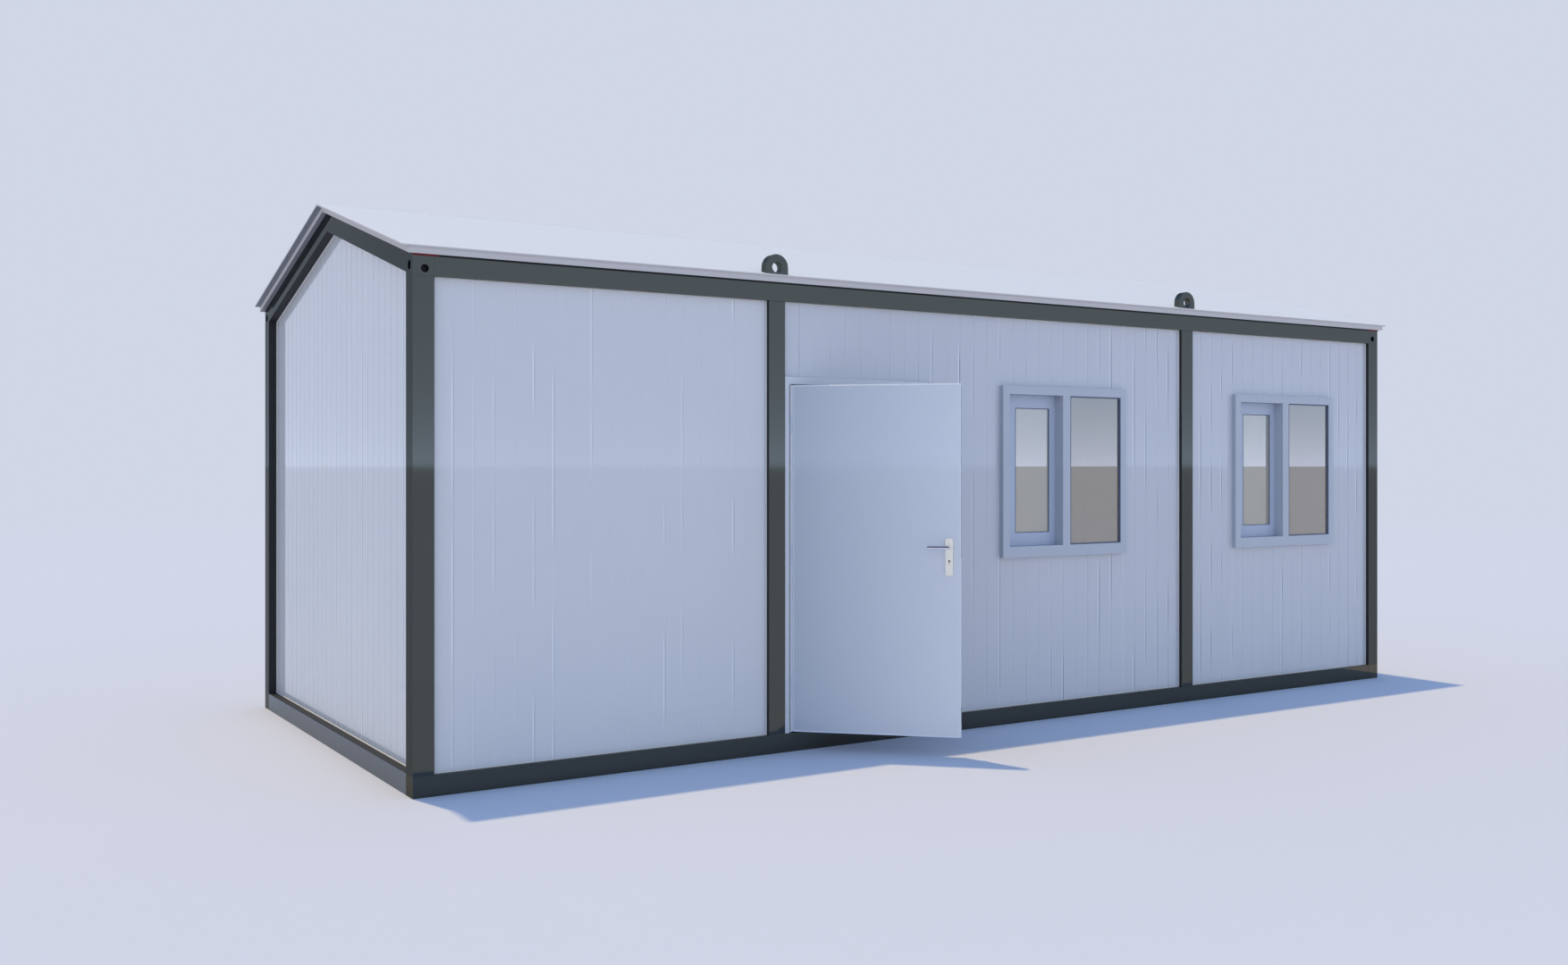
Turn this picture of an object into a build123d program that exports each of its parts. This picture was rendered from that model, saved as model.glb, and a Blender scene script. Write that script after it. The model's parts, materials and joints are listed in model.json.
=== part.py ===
from build123d import *
from math import ceil, cos, floor, radians, sin, tan
import os

os.makedirs("parts", exist_ok=True)

# Portable site cabin, in millimetres. X runs along the length, the front wall faces -Y,
# Z is up, and the origin is on the ground under the middle of the floor.

# Overall frame
length = 7000
depth = 3000
sill_height = 100
eave_underside = 2398
roof_pitch = 15

# Steel members
post = 100
middle_bay = 3000
rafter_depth = 100
inner_rafter_width = 50
ridge_beam_width = 100
ridge_beam_depth = 100
member_wall = 4
joist_width = 50
joist_wall = 3
joist_count = 9

# Corner blocks with their lashing holes
block_wall = 8
lash_front_radius = 18.5
lash_front_inset = 57
lash_front_height = 2432
lash_end_radius = 22.5
lash_end_inset = 50
lash_end_height = 2450

# Lifting lugs over the middle posts
lug_width = 140
lug_thickness = 45
lug_setback = 2
lug_hole_radius = 28
lug_hole_height = 2577
lug_clearance = 2

# Floor and wall panels, with narrow upright rib lines in their outer skins
deck_thickness = 20
panel_thickness = 50
front_recess = 25
gable_recess = 50
rib_pitch = 100
rib_width = 6
rib_depth = 1

# Roof: an insulated panel under a thin weather sheet on each slope
roof_panel_thickness = 29
roof_panel_end_overhang = 26
roof_panel_eave_overhang = 24
roof_sheet_thickness = 9.5
roof_sheet_end_overhang = 55
roof_sheet_eave_overhang = 27

# Door set, hung on the post at the left of the middle bay
door_rest_angle = 45
leaf_width = 900
leaf_height = 1846
leaf_thickness = 40
leaf_floor_clearance = 8
leaf_side_clearance = 7
leaf_head_clearance = 6
leaf_edge_radius = 2
jamb_face = 30
head_face = 40
door_frame_depth = 75
stop_width = 15
stop_clearance = 5

# Butt hinges of the door
hinge_heights = (300, 1000, 1700)
hinge_half = 50
hinge_washer = 1
hinge_barrel_radius = 6.5
hinge_pin_radius = 4
hinge_pin_clearance = 0.05
hinge_face_clearance = 0.5
hinge_plate = 2
hinge_plate_depth = 37

# Lever furniture of the door
lever_height = 1098
lever_radius = 8
lever_length = 113
lever_standoff = 48
lever_bend_radius = 16
lever_tip_chamfer = 3
spindle_backset = 60
spindle_clearance = 5
plate_width = 40
plate_height = 194
plate_top = 1146
plate_thickness = 8
plate_corner_radius = 9
plate_bore_clearance = 0.3
keyhole_height = 1028
keyhole_radius = 5
keyhole_slot_width = 4
keyhole_slot_length = 14

# Windows: a fixed light at the right and a deeper sliding sash at the left
window_names = ("middle_window", "right_window")
middle_window_inset = 500
window_width = 1000
window_height = 1018
window_bottom = 980
casing_proud = 33
casing_depth = 110
casing_face = 50
casing_sill_face = 65
mullion_width = 60
mullion_depth = 69
sash_thickness = 40
sash_lock_stile = 100
sash_stile = 55
sash_rail = 77
sash_lap = 5
sash_pane_setback = 4
fixed_pane_setback = 13
pane_thickness = 6

# Places worked out from the sizes above
half_length = length / 2
half_depth = depth / 2
clear_length = length - 2 * post
clear_depth = depth - 2 * post
slope = tan(radians(roof_pitch))
upright = 1 / cos(radians(roof_pitch))
eave_top = eave_underside + rafter_depth * upright
mid_post_x = (middle_bay + post) / 2
middle_bay_left = -middle_bay / 2
front_panel_plane = Plane.XZ.offset(half_depth - front_recess)
eave_plane = Plane(origin=(0, -half_depth, eave_top), z_dir=(0, -sin(radians(roof_pitch)), cos(radians(roof_pitch))))


def roof_height(y):
    """Height of the roof's underside at a distance y from the middle of the depth."""
    return eave_top + (half_depth - abs(y)) * slope


def rib_places(start, end):
    """Places of the rib lines that lie well inside a panel."""
    lines = range(floor(start / rib_pitch), ceil(end / rib_pitch) + 1)
    return [k * rib_pitch for k in lines if start + rib_width < k * rib_pitch < end - rib_width]


def front_panel(left, right, bottom, top):
    """One panel of the front wall, drawn in plan with its rib lines and raised to its top."""
    outer_skin = -half_depth + front_recess
    with BuildSketch(Plane.XY.offset(bottom)) as plan:
        with Locations((left, outer_skin)):
            Rectangle(right - left, panel_thickness, align=(Align.MIN, Align.MIN))
        for rib_x in rib_places(left, right):
            with Locations((rib_x, outer_skin)):
                Rectangle(rib_width, 2 * rib_depth, mode=Mode.SUBTRACT)
    extrude(plan.sketch, amount=top - bottom)


# Base frame: long sills, end sills and corner posts as box sections
with BuildPart() as long_sills:
    with BuildSketch(Plane.YZ):
        with Locations((0, sill_height / 2)):
            with GridLocations(depth - post, 0, 2, 1):
                Rectangle(post, sill_height)
                Rectangle(post - 2 * member_wall, sill_height - 2 * member_wall, mode=Mode.SUBTRACT)
    extrude(amount=clear_length / 2, both=True)
long_sills.part.label = "long_sills"
export_step(long_sills.part, "parts/long_sills.step")

with BuildPart() as end_sills:
    with BuildSketch(Plane.XZ):
        with Locations((0, sill_height / 2)):
            with GridLocations(length - post, 0, 2, 1):
                Rectangle(post, sill_height)
                Rectangle(post - 2 * member_wall, sill_height - 2 * member_wall, mode=Mode.SUBTRACT)
    extrude(amount=clear_depth / 2, both=True)
end_sills.part.label = "end_sills"
export_step(end_sills.part, "parts/end_sills.step")

with BuildPart() as corner_posts:
    with BuildSketch():
        with GridLocations(length - post, depth - post, 2, 2):
            Rectangle(post, post)
            Rectangle(post - 2 * member_wall, post - 2 * member_wall, mode=Mode.SUBTRACT)
    extrude(amount=eave_underside)
corner_posts.part.label = "corner_posts"
export_step(corner_posts.part, "parts/corner_posts.step")

with BuildPart() as middle_posts:
    with BuildSketch(Plane.XY.offset(sill_height)):
        with GridLocations(2 * mid_post_x, depth - post, 2, 2):
            Rectangle(post, post)
            Rectangle(post - 2 * member_wall, post - 2 * member_wall, mode=Mode.SUBTRACT)
    extrude(amount=eave_underside - sill_height)
middle_posts.part.label = "middle_posts"
export_step(middle_posts.part, "parts/middle_posts.step")

# Corner blocks: hollow, cut to the roof's slope, with a lashing hole in each outer face
with BuildPart() as corner_blocks:
    with BuildSketch(Plane.YZ.offset(-half_length)):
        with BuildLine():
            Polyline(
                (-half_depth, eave_underside),
                (-half_depth + post, eave_underside),
                (-half_depth + post, roof_height(half_depth - post)),
                (-half_depth, eave_top),
                close=True,
            )
        make_face()
    extrude(amount=post)
    with BuildSketch(Plane.XY.offset(eave_underside + block_wall)):
        with Locations((-half_length + post / 2, -half_depth + post / 2)):
            Rectangle(post - 2 * block_wall, post - 2 * block_wall)
    extrude(amount=eave_top - eave_underside - 2 * block_wall, mode=Mode.SUBTRACT)
    with Locations(Plane((-half_length + lash_front_inset, -half_depth, lash_front_height), z_dir=(0, -1, 0))):
        Hole(lash_front_radius, depth=block_wall)
    with Locations(Plane((-half_length, -half_depth + lash_end_inset, lash_end_height), z_dir=(-1, 0, 0))):
        Hole(lash_end_radius, depth=block_wall)
    mirror(about=Plane.YZ)
    mirror(about=Plane.XZ)
corner_blocks.part.label = "corner_blocks"
export_step(corner_blocks.part, "parts/corner_blocks.step")

# Eave rails: box sections whose tops follow the roof's slope
with BuildPart() as eave_rails:
    with BuildSketch(Plane.YZ):
        with BuildLine():
            Polyline(
                (-half_depth, eave_underside),
                (-half_depth + post, eave_underside),
                (-half_depth + post, roof_height(half_depth - post)),
                (-half_depth, eave_top),
                close=True,
            )
        make_face()
        offset(amount=-member_wall, mode=Mode.SUBTRACT)
    extrude(amount=clear_length / 2, both=True)
    mirror(about=Plane.XZ)
eave_rails.part.label = "eave_rails"
export_step(eave_rails.part, "parts/eave_rails.step")

# Ridge beam: a box section with a peaked top, from gable to gable
with BuildPart() as ridge_beam:
    shoulder = roof_height(ridge_beam_width / 2)
    with BuildSketch(Plane.YZ):
        with BuildLine():
            Polyline(
                (-ridge_beam_width / 2, shoulder - ridge_beam_depth),
                (ridge_beam_width / 2, shoulder - ridge_beam_depth),
                (ridge_beam_width / 2, shoulder),
                (0, roof_height(0)),
                (-ridge_beam_width / 2, shoulder),
                close=True,
            )
        make_face()
        offset(amount=-member_wall, mode=Mode.SUBTRACT)
    extrude(amount=clear_length / 2, both=True)
ridge_beam.part.label = "ridge_beam"
export_step(ridge_beam.part, "parts/ridge_beam.step")

# Rafters: wide ones in the gables that meet at the ridge, slim ones over the middle posts
gable_rafter_x = half_length - post / 2
rafter_stations = (
    (-gable_rafter_x, post, 0),
    (-mid_post_x, inner_rafter_width, ridge_beam_width / 2),
    (mid_post_x, inner_rafter_width, ridge_beam_width / 2),
    (gable_rafter_x, post, 0),
)


def rafter_side(upper_end, skin):
    """Side view of a front rafter from the eave rail up to upper_end, thinned by a skin."""
    low = half_depth - post
    under = (rafter_depth - skin) * upright
    over = skin * upright
    Polyline(
        (-low, roof_height(low) - under),
        (-upper_end, roof_height(upper_end) - under),
        (-upper_end, roof_height(upper_end) - over),
        (-low, roof_height(low) - over),
        close=True,
    )


with BuildPart() as front_rafters:
    for rafter_x, rafter_width, rafter_top in rafter_stations:
        with BuildSketch(Plane.YZ.offset(rafter_x)):
            with BuildLine():
                rafter_side(rafter_top, 0)
            make_face()
        extrude(amount=rafter_width / 2, both=True)
        with BuildSketch(Plane.YZ.offset(rafter_x)):
            with BuildLine():
                rafter_side(rafter_top, member_wall)
            make_face()
        extrude(amount=rafter_width / 2 - member_wall, both=True, mode=Mode.SUBTRACT)
front_rafters.part.label = "front_rafters"
export_step(front_rafters.part, "parts/front_rafters.step")

with BuildPart() as rear_rafters:
    mirror(front_rafters.part, about=Plane.XZ)
rear_rafters.part.label = "rear_rafters"
export_step(rear_rafters.part, "parts/rear_rafters.step")

# Lifting lugs: round-topped plates that stand on the eave rails
with BuildPart() as lifting_lugs:
    with BuildSketch(Plane.XZ.offset(half_depth - lug_setback)):
        with Locations((0, lug_hole_height)):
            with GridLocations(2 * mid_post_x, 0, 2, 1):
                Circle(lug_width / 2)
                Rectangle(lug_width, lug_hole_height - eave_underside, align=(Align.CENTER, Align.MAX))
                Circle(lug_hole_radius, mode=Mode.SUBTRACT)
    extrude(amount=-lug_thickness)
    split(bisect_by=eave_plane, keep=Keep.TOP)
    mirror(about=Plane.XZ)
lifting_lugs.part.label = "lifting_lugs"
export_step(lifting_lugs.part, "parts/lifting_lugs.step")

# Floor: cross joists that rest on the ground, and the deck on them
joist_height = sill_height - deck_thickness
with BuildPart() as floor_joists:
    with BuildSketch(Plane.XZ):
        with Locations((0, joist_height / 2)):
            with GridLocations(clear_length / (joist_count + 1), 0, joist_count, 1):
                Rectangle(joist_width, joist_height)
                Rectangle(joist_width - 2 * joist_wall, joist_height - 2 * joist_wall, mode=Mode.SUBTRACT)
    extrude(amount=clear_depth / 2, both=True)
floor_joists.part.label = "floor_joists"
export_step(floor_joists.part, "parts/floor_joists.step")

with BuildPart() as floor_deck:
    with BuildSketch(Plane.XY.offset(joist_height)):
        Rectangle(clear_length, clear_depth)
    extrude(amount=deck_thickness)
floor_deck.part.label = "floor_deck"
export_step(floor_deck.part, "parts/floor_deck.step")

# Places of the door frame and the windows along the front wall
jamb_x = middle_bay_left + jamb_face
opening_width = leaf_width + 2 * leaf_side_clearance
leaf_bottom = sill_height + leaf_floor_clearance
opening_top = leaf_bottom + leaf_height + leaf_head_clearance
door_frame_right = jamb_x + opening_width + jamb_face
door_frame_top = opening_top + head_face
window_top = window_bottom + window_height
left_bay = (-half_length + post, -mid_post_x - post / 2)
right_bay = (mid_post_x + post / 2, half_length - post)
window_lefts = (
    middle_bay / 2 - middle_window_inset - window_width,
    (right_bay[0] + right_bay[1] - window_width) / 2,
)

# Front wall panels, split beside, under and over the door and the windows
with BuildPart() as front_wall_left:
    front_panel(*left_bay, sill_height, eave_underside)
front_wall_left.part.label = "front_wall_left"
export_step(front_wall_left.part, "parts/front_wall_left.step")

with BuildPart() as front_wall_over_door:
    front_panel(middle_bay_left, door_frame_right, door_frame_top, eave_underside)
front_wall_over_door.part.label = "front_wall_over_door"
export_step(front_wall_over_door.part, "parts/front_wall_over_door.step")

with BuildPart() as front_wall_piers:
    front_panel(door_frame_right, window_lefts[0], sill_height, eave_underside)
    front_panel(window_lefts[0] + window_width, -middle_bay_left, sill_height, eave_underside)
    front_panel(right_bay[0], window_lefts[1], sill_height, eave_underside)
    front_panel(window_lefts[1] + window_width, right_bay[1], sill_height, eave_underside)
front_wall_piers.part.label = "front_wall_piers"
export_step(front_wall_piers.part, "parts/front_wall_piers.step")

with BuildPart() as front_wall_under_windows:
    for window_left in window_lefts:
        front_panel(window_left, window_left + window_width, sill_height, window_bottom)
front_wall_under_windows.part.label = "front_wall_under_windows"
export_step(front_wall_under_windows.part, "parts/front_wall_under_windows.step")

with BuildPart() as front_wall_over_windows:
    for window_left in window_lefts:
        front_panel(window_left, window_left + window_width, window_top, eave_underside)
front_wall_over_windows.part.label = "front_wall_over_windows"
export_step(front_wall_over_windows.part, "parts/front_wall_over_windows.step")

# Rear wall: one plain ribbed panel in each bay
with BuildPart() as rear_wall_as_front:
    front_panel(*left_bay, sill_height, eave_underside)
    front_panel(middle_bay_left, -middle_bay_left, sill_height, eave_underside)
    front_panel(*right_bay, sill_height, eave_underside)
with BuildPart() as rear_wall:
    mirror(rear_wall_as_front.part, about=Plane.XZ)
rear_wall.part.label = "rear_wall"
export_step(rear_wall.part, "parts/rear_wall.step")

# Gable walls: one peaked panel in each end, set back inside the frame
gable_plane = Plane.YZ.offset(-half_length + gable_recess)
gable_shoulder = half_depth - post
with BuildPart() as gable_wall_left:
    with BuildSketch(gable_plane):
        with BuildLine():
            Polyline(
                (-gable_shoulder, sill_height),
                (gable_shoulder, sill_height),
                (gable_shoulder, roof_height(gable_shoulder) - rafter_depth * upright),
                (0, roof_height(0) - rafter_depth * upright),
                (-gable_shoulder, roof_height(gable_shoulder) - rafter_depth * upright),
                close=True,
            )
        make_face()
    extrude(amount=panel_thickness)
    with BuildSketch(gable_plane):
        with Locations(*[(y - half_depth, sill_height) for y in rib_places(post, depth - post)]):
            Rectangle(rib_width, roof_height(0) - sill_height, align=(Align.CENTER, Align.MIN))
    extrude(amount=rib_depth, mode=Mode.SUBTRACT)
gable_wall_left.part.label = "gable_wall_left"
export_step(gable_wall_left.part, "parts/gable_wall_left.step")

with BuildPart() as gable_wall_right:
    mirror(gable_wall_left.part, about=Plane.YZ)
gable_wall_right.part.label = "gable_wall_right"
export_step(gable_wall_right.part, "parts/gable_wall_right.step")


# Roof slopes, with slots that the lifting lugs pass through
def roof_side(eave_overhang, bottom, top):
    """Side view of a layer of the front slope, between two heights square to the slope."""
    edge = half_depth + eave_overhang
    Polyline(
        (-edge, roof_height(edge) + bottom * upright),
        (0, roof_height(0) + bottom * upright),
        (0, roof_height(0) + top * upright),
        (-edge, roof_height(edge) + top * upright),
        close=True,
    )


lug_slot_y = -half_depth + lug_setback + lug_thickness / 2
lug_slot_width = lug_width + 2 * lug_clearance
lug_slot_depth = lug_thickness + 2 * lug_clearance

with BuildPart() as front_roof_panel:
    with BuildSketch(Plane.YZ):
        with BuildLine():
            roof_side(roof_panel_eave_overhang, 0, roof_panel_thickness)
        make_face()
    extrude(amount=half_length + roof_panel_end_overhang, both=True)
    with BuildSketch(Plane.XY.offset(eave_underside)):
        with Locations((0, lug_slot_y)):
            with GridLocations(2 * mid_post_x, 0, 2, 1):
                Rectangle(lug_slot_width, lug_slot_depth)
    extrude(amount=lug_hole_height, mode=Mode.SUBTRACT)
front_roof_panel.part.label = "front_roof_panel"
export_step(front_roof_panel.part, "parts/front_roof_panel.step")

with BuildPart() as front_roof_sheet:
    with BuildSketch(Plane.YZ):
        with BuildLine():
            roof_side(
                roof_sheet_eave_overhang,
                roof_panel_thickness,
                roof_panel_thickness + roof_sheet_thickness,
            )
        make_face()
    extrude(amount=half_length + roof_sheet_end_overhang, both=True)
    with BuildSketch(Plane.XY.offset(eave_underside)):
        with Locations((0, lug_slot_y)):
            with GridLocations(2 * mid_post_x, 0, 2, 1):
                Rectangle(lug_slot_width, lug_slot_depth)
    extrude(amount=lug_hole_height, mode=Mode.SUBTRACT)
front_roof_sheet.part.label = "front_roof_sheet"
export_step(front_roof_sheet.part, "parts/front_roof_sheet.step")

with BuildPart() as rear_roof_panel:
    mirror(front_roof_panel.part, about=Plane.XZ)
rear_roof_panel.part.label = "rear_roof_panel"
export_step(rear_roof_panel.part, "parts/rear_roof_panel.step")

with BuildPart() as rear_roof_sheet:
    mirror(front_roof_sheet.part, about=Plane.XZ)
rear_roof_sheet.part.label = "rear_roof_sheet"
export_step(rear_roof_sheet.part, "parts/rear_roof_sheet.step")

# Door frame: jambs and head in one, with a stop all round behind the leaf
stop_setback = leaf_thickness + stop_clearance
with BuildPart() as door_frame:
    with BuildSketch(Plane.XZ.offset(half_depth)):
        with Locations((middle_bay_left, sill_height)):
            Rectangle(
                door_frame_right - middle_bay_left,
                door_frame_top - sill_height,
                align=(Align.MIN, Align.MIN),
            )
        with Locations((jamb_x, sill_height)):
            Rectangle(
                opening_width,
                opening_top - sill_height,
                align=(Align.MIN, Align.MIN),
                mode=Mode.SUBTRACT,
            )
    extrude(amount=-door_frame_depth)
    with BuildSketch(Plane.XZ.offset(half_depth - stop_setback)):
        with Locations((jamb_x, sill_height)):
            Rectangle(opening_width, opening_top - sill_height, align=(Align.MIN, Align.MIN))
        with Locations((jamb_x + stop_width, sill_height)):
            Rectangle(
                opening_width - 2 * stop_width,
                opening_top - sill_height - stop_width,
                align=(Align.MIN, Align.MIN),
                mode=Mode.SUBTRACT,
            )
    extrude(amount=-(door_frame_depth - stop_setback))
door_frame.part.label = "door_frame"
export_step(door_frame.part, "parts/door_frame.step")

# The door stands ajar at rest. Its own plane starts at the hinge pins, runs along the leaf
# and faces outwards, and its level planes run along the leaf and then inwards.
pin_x = jamb_x + leaf_side_clearance / 2
pin_y = -half_depth - hinge_barrel_radius - hinge_face_clearance
leaf_setback = -half_depth - pin_y
along_leaf = (cos(radians(door_rest_angle)), -sin(radians(door_rest_angle)), 0)
out_of_leaf = (-sin(radians(door_rest_angle)), -cos(radians(door_rest_angle)), 0)
door_plane = Plane(origin=(pin_x, pin_y, 0), x_dir=along_leaf, z_dir=out_of_leaf)
door_level = Plane(origin=(pin_x, pin_y, 0), x_dir=along_leaf, z_dir=(0, 0, 1))
leaf_face = door_plane.offset(-leaf_setback)
leaf_back = leaf_face.offset(-leaf_thickness)
leaf_start = leaf_side_clearance / 2
spindle = leaf_start + leaf_width - spindle_backset

with BuildPart() as door_leaf:
    with BuildSketch(leaf_face):
        with Locations((leaf_start, leaf_bottom)):
            Rectangle(leaf_width, leaf_height, align=(Align.MIN, Align.MIN))
        with Locations((spindle, lever_height)):
            Circle(lever_radius + spindle_clearance, mode=Mode.SUBTRACT)
    extrude(amount=-leaf_thickness)
    fillet(door_leaf.edges().filter_by(Axis.Z), leaf_edge_radius)
door_leaf.part.label = "door_leaf"
export_step(door_leaf.part, "parts/door_leaf.step")

# Hinges: lower barrels with the pins on the jamb, upper barrels on the leaf's edge
with BuildPart() as jamb_hinges:
    for hinge_height in hinge_heights:
        with BuildSketch(Plane.XY.offset(hinge_height)):
            with Locations((pin_x, pin_y)):
                Circle(hinge_barrel_radius)
            with Locations((jamb_x, pin_y)):
                Rectangle(hinge_plate, hinge_plate_depth, align=(Align.MIN, Align.MIN))
        extrude(amount=hinge_half)
        with BuildSketch(Plane.XY.offset(hinge_height)):
            with Locations((pin_x, pin_y)):
                Circle(hinge_pin_radius)
        extrude(amount=2 * hinge_half)
jamb_hinges.part.label = "jamb_hinges"
export_step(jamb_hinges.part, "parts/jamb_hinges.step")

with BuildPart() as leaf_hinges:
    for hinge_height in hinge_heights:
        with BuildSketch(door_level.offset(hinge_height + hinge_half + hinge_washer)):
            Circle(hinge_barrel_radius)
            with Locations((leaf_start - hinge_plate, 0)):
                Rectangle(hinge_plate, hinge_plate_depth, align=(Align.MIN, Align.MIN))
            Circle(hinge_pin_radius + hinge_pin_clearance, mode=Mode.SUBTRACT)
        extrude(amount=hinge_half)
leaf_hinges.part.label = "leaf_hinges"
export_step(leaf_hinges.part, "parts/leaf_hinges.step")

# Back plates of the lock on both faces of the leaf, each with a keyhole
with BuildPart() as lock_plates:
    for plate_plane, plate_growth in ((leaf_face, plate_thickness), (leaf_back, -plate_thickness)):
        with BuildSketch(plate_plane):
            with Locations((spindle, plate_top - plate_height / 2)):
                RectangleRounded(plate_width, plate_height, plate_corner_radius)
            with Locations((spindle, lever_height)):
                Circle(lever_radius + plate_bore_clearance, mode=Mode.SUBTRACT)
            with Locations((spindle, keyhole_height)):
                Circle(keyhole_radius, mode=Mode.SUBTRACT)
                Rectangle(
                    keyhole_slot_width,
                    keyhole_slot_length,
                    align=(Align.CENTER, Align.MAX),
                    mode=Mode.SUBTRACT,
                )
        extrude(amount=plate_growth)
lock_plates.part.label = "lock_plates"
export_step(lock_plates.part, "parts/lock_plates.step")

# Lever handles: one bar bent from the inside lever through the spindle to the outside lever
with BuildPart() as lever_handles:
    outside = leaf_setback - lever_standoff
    inside = leaf_setback + leaf_thickness + lever_standoff
    with BuildLine(door_level.offset(lever_height)) as lever_path:
        FilletPolyline(
            (spindle - lever_length, outside),
            (spindle, outside),
            (spindle, inside),
            (spindle - lever_length, inside),
            radius=lever_bend_radius,
        )
    with BuildSketch(Plane(origin=lever_path.line @ 0, z_dir=lever_path.line % 0)):
        Circle(lever_radius)
    sweep()
    chamfer(lever_handles.faces().filter_by(GeomType.PLANE).edges(), lever_tip_chamfer)
lever_handles.part.label = "lever_handles"
export_step(lever_handles.part, "parts/lever_handles.step")

# Windows, each set into the wall with a casing that stands proud on both sides
casing_plane = front_panel_plane.offset(casing_proud)
sash_plane = casing_plane.offset(-mullion_depth)
light_height = window_height - casing_face - casing_sill_face
light_width = (window_width - 2 * casing_face - mullion_width) / 2
light_bottom = window_bottom + casing_sill_face
pane_height = light_height - 2 * sash_rail
sash_width = light_width + sash_lap
sash_pane_width = sash_width - sash_lock_stile - sash_stile

for window_name, window_left in zip(window_names, window_lefts):
    sash_left = window_left + casing_face
    fixed_left = sash_left + light_width + mullion_width
    with BuildPart() as casing:
        with BuildSketch(casing_plane):
            with Locations((window_left, window_bottom)):
                Rectangle(window_width, window_height, align=(Align.MIN, Align.MIN))
            with Locations((sash_left, light_bottom), (fixed_left, light_bottom)):
                Rectangle(light_width, light_height, align=(Align.MIN, Align.MIN), mode=Mode.SUBTRACT)
        extrude(amount=-mullion_depth)
        with BuildSketch(sash_plane):
            with Locations((window_left, window_bottom)):
                Rectangle(window_width, window_height, align=(Align.MIN, Align.MIN))
            with Locations((sash_left, light_bottom)):
                Rectangle(
                    window_width - 2 * casing_face,
                    light_height,
                    align=(Align.MIN, Align.MIN),
                    mode=Mode.SUBTRACT,
                )
        extrude(amount=mullion_depth - casing_depth)
    casing.part.label = f"{window_name}_casing"
    export_step(casing.part, f"parts/{window_name}_casing.step")

    with BuildPart() as sash:
        with BuildSketch(sash_plane):
            with Locations((sash_left, light_bottom)):
                Rectangle(sash_width, light_height, align=(Align.MIN, Align.MIN))
            with Locations((sash_left + sash_lock_stile, light_bottom + sash_rail)):
                Rectangle(sash_pane_width, pane_height, align=(Align.MIN, Align.MIN), mode=Mode.SUBTRACT)
        extrude(amount=-sash_thickness)
    sash.part.label = f"{window_name}_sash"
    export_step(sash.part, f"parts/{window_name}_sash.step")

    with BuildPart() as sash_pane:
        with BuildSketch(sash_plane.offset(-sash_pane_setback)):
            with Locations((sash_left + sash_lock_stile, light_bottom + sash_rail)):
                Rectangle(sash_pane_width, pane_height, align=(Align.MIN, Align.MIN))
        extrude(amount=-pane_thickness)
    sash_pane.part.label = f"{window_name}_sash_pane"
    export_step(sash_pane.part, f"parts/{window_name}_sash_pane.step")

    with BuildPart() as fixed_pane:
        with BuildSketch(casing_plane.offset(-fixed_pane_setback)):
            with Locations((fixed_left, light_bottom)):
                Rectangle(light_width, light_height, align=(Align.MIN, Align.MIN))
        extrude(amount=-pane_thickness)
    fixed_pane.part.label = f"{window_name}_fixed_pane"
    export_step(fixed_pane.part, f"parts/{window_name}_fixed_pane.step")
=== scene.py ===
import json
import logging
import math
from dataclasses import dataclass, replace
from enum import Enum
from typing import Any, Callable, Optional, Sequence

import bmesh
import bpy
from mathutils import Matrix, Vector


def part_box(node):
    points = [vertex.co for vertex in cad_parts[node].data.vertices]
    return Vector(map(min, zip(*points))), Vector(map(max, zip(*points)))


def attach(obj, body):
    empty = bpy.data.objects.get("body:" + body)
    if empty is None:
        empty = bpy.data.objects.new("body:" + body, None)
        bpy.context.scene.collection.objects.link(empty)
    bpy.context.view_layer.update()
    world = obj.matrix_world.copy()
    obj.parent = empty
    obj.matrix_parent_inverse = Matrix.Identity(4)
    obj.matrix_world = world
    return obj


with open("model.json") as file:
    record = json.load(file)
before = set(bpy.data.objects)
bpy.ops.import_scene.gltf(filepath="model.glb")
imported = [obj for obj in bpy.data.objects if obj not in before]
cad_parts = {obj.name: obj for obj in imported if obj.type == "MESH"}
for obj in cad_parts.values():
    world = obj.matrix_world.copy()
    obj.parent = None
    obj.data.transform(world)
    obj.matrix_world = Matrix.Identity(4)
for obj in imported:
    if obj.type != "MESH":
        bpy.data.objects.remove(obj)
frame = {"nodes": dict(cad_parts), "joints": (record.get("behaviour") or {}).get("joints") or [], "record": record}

# A portable site cabin: dark box-section frame, pale ribbed panels, shallow gable roof,
# a door that stands ajar and two windows with a sliding sash each.
log = logging.getLogger("site_cabin")
MM = 0.001
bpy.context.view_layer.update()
# Points that lie closer than this are one: first in a new piece, then in a CAD node.
SAME_PLACE_MM = 0.001
JOINED_MM = 0.01
# Edges that turn by more than this are rounded.
SHARP_DEG = 40
UP, FRONT, RIGHT = Vector((0, 0, 1)), Vector((0, -1, 0)), Vector((1, 0, 0))
Colour = tuple[float, float, float, float]
Point = tuple[float, float]
Shape = bmesh.types.BMesh
Tree = bpy.types.NodeTree
Node = bpy.types.Node
Socket = bpy.types.NodeSocket


def linear(hex_colour: str) -> Colour:
    """Turns an sRGB hex colour into linear light.

    Args:
        hex_colour: a colour such as "#D0D6E6".

    Returns:
        Red, green, blue and alpha, each from 0 to 1.
    """
    shares = [int(hex_colour[i:i + 2], 16) / 255 for i in (1, 3, 5)]
    red, green, blue = (s / 12.92 if s <= 0.04045 else ((s + 0.055) / 1.055) ** 2.4 for s in shares)
    return red, green, blue, 1.0


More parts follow.
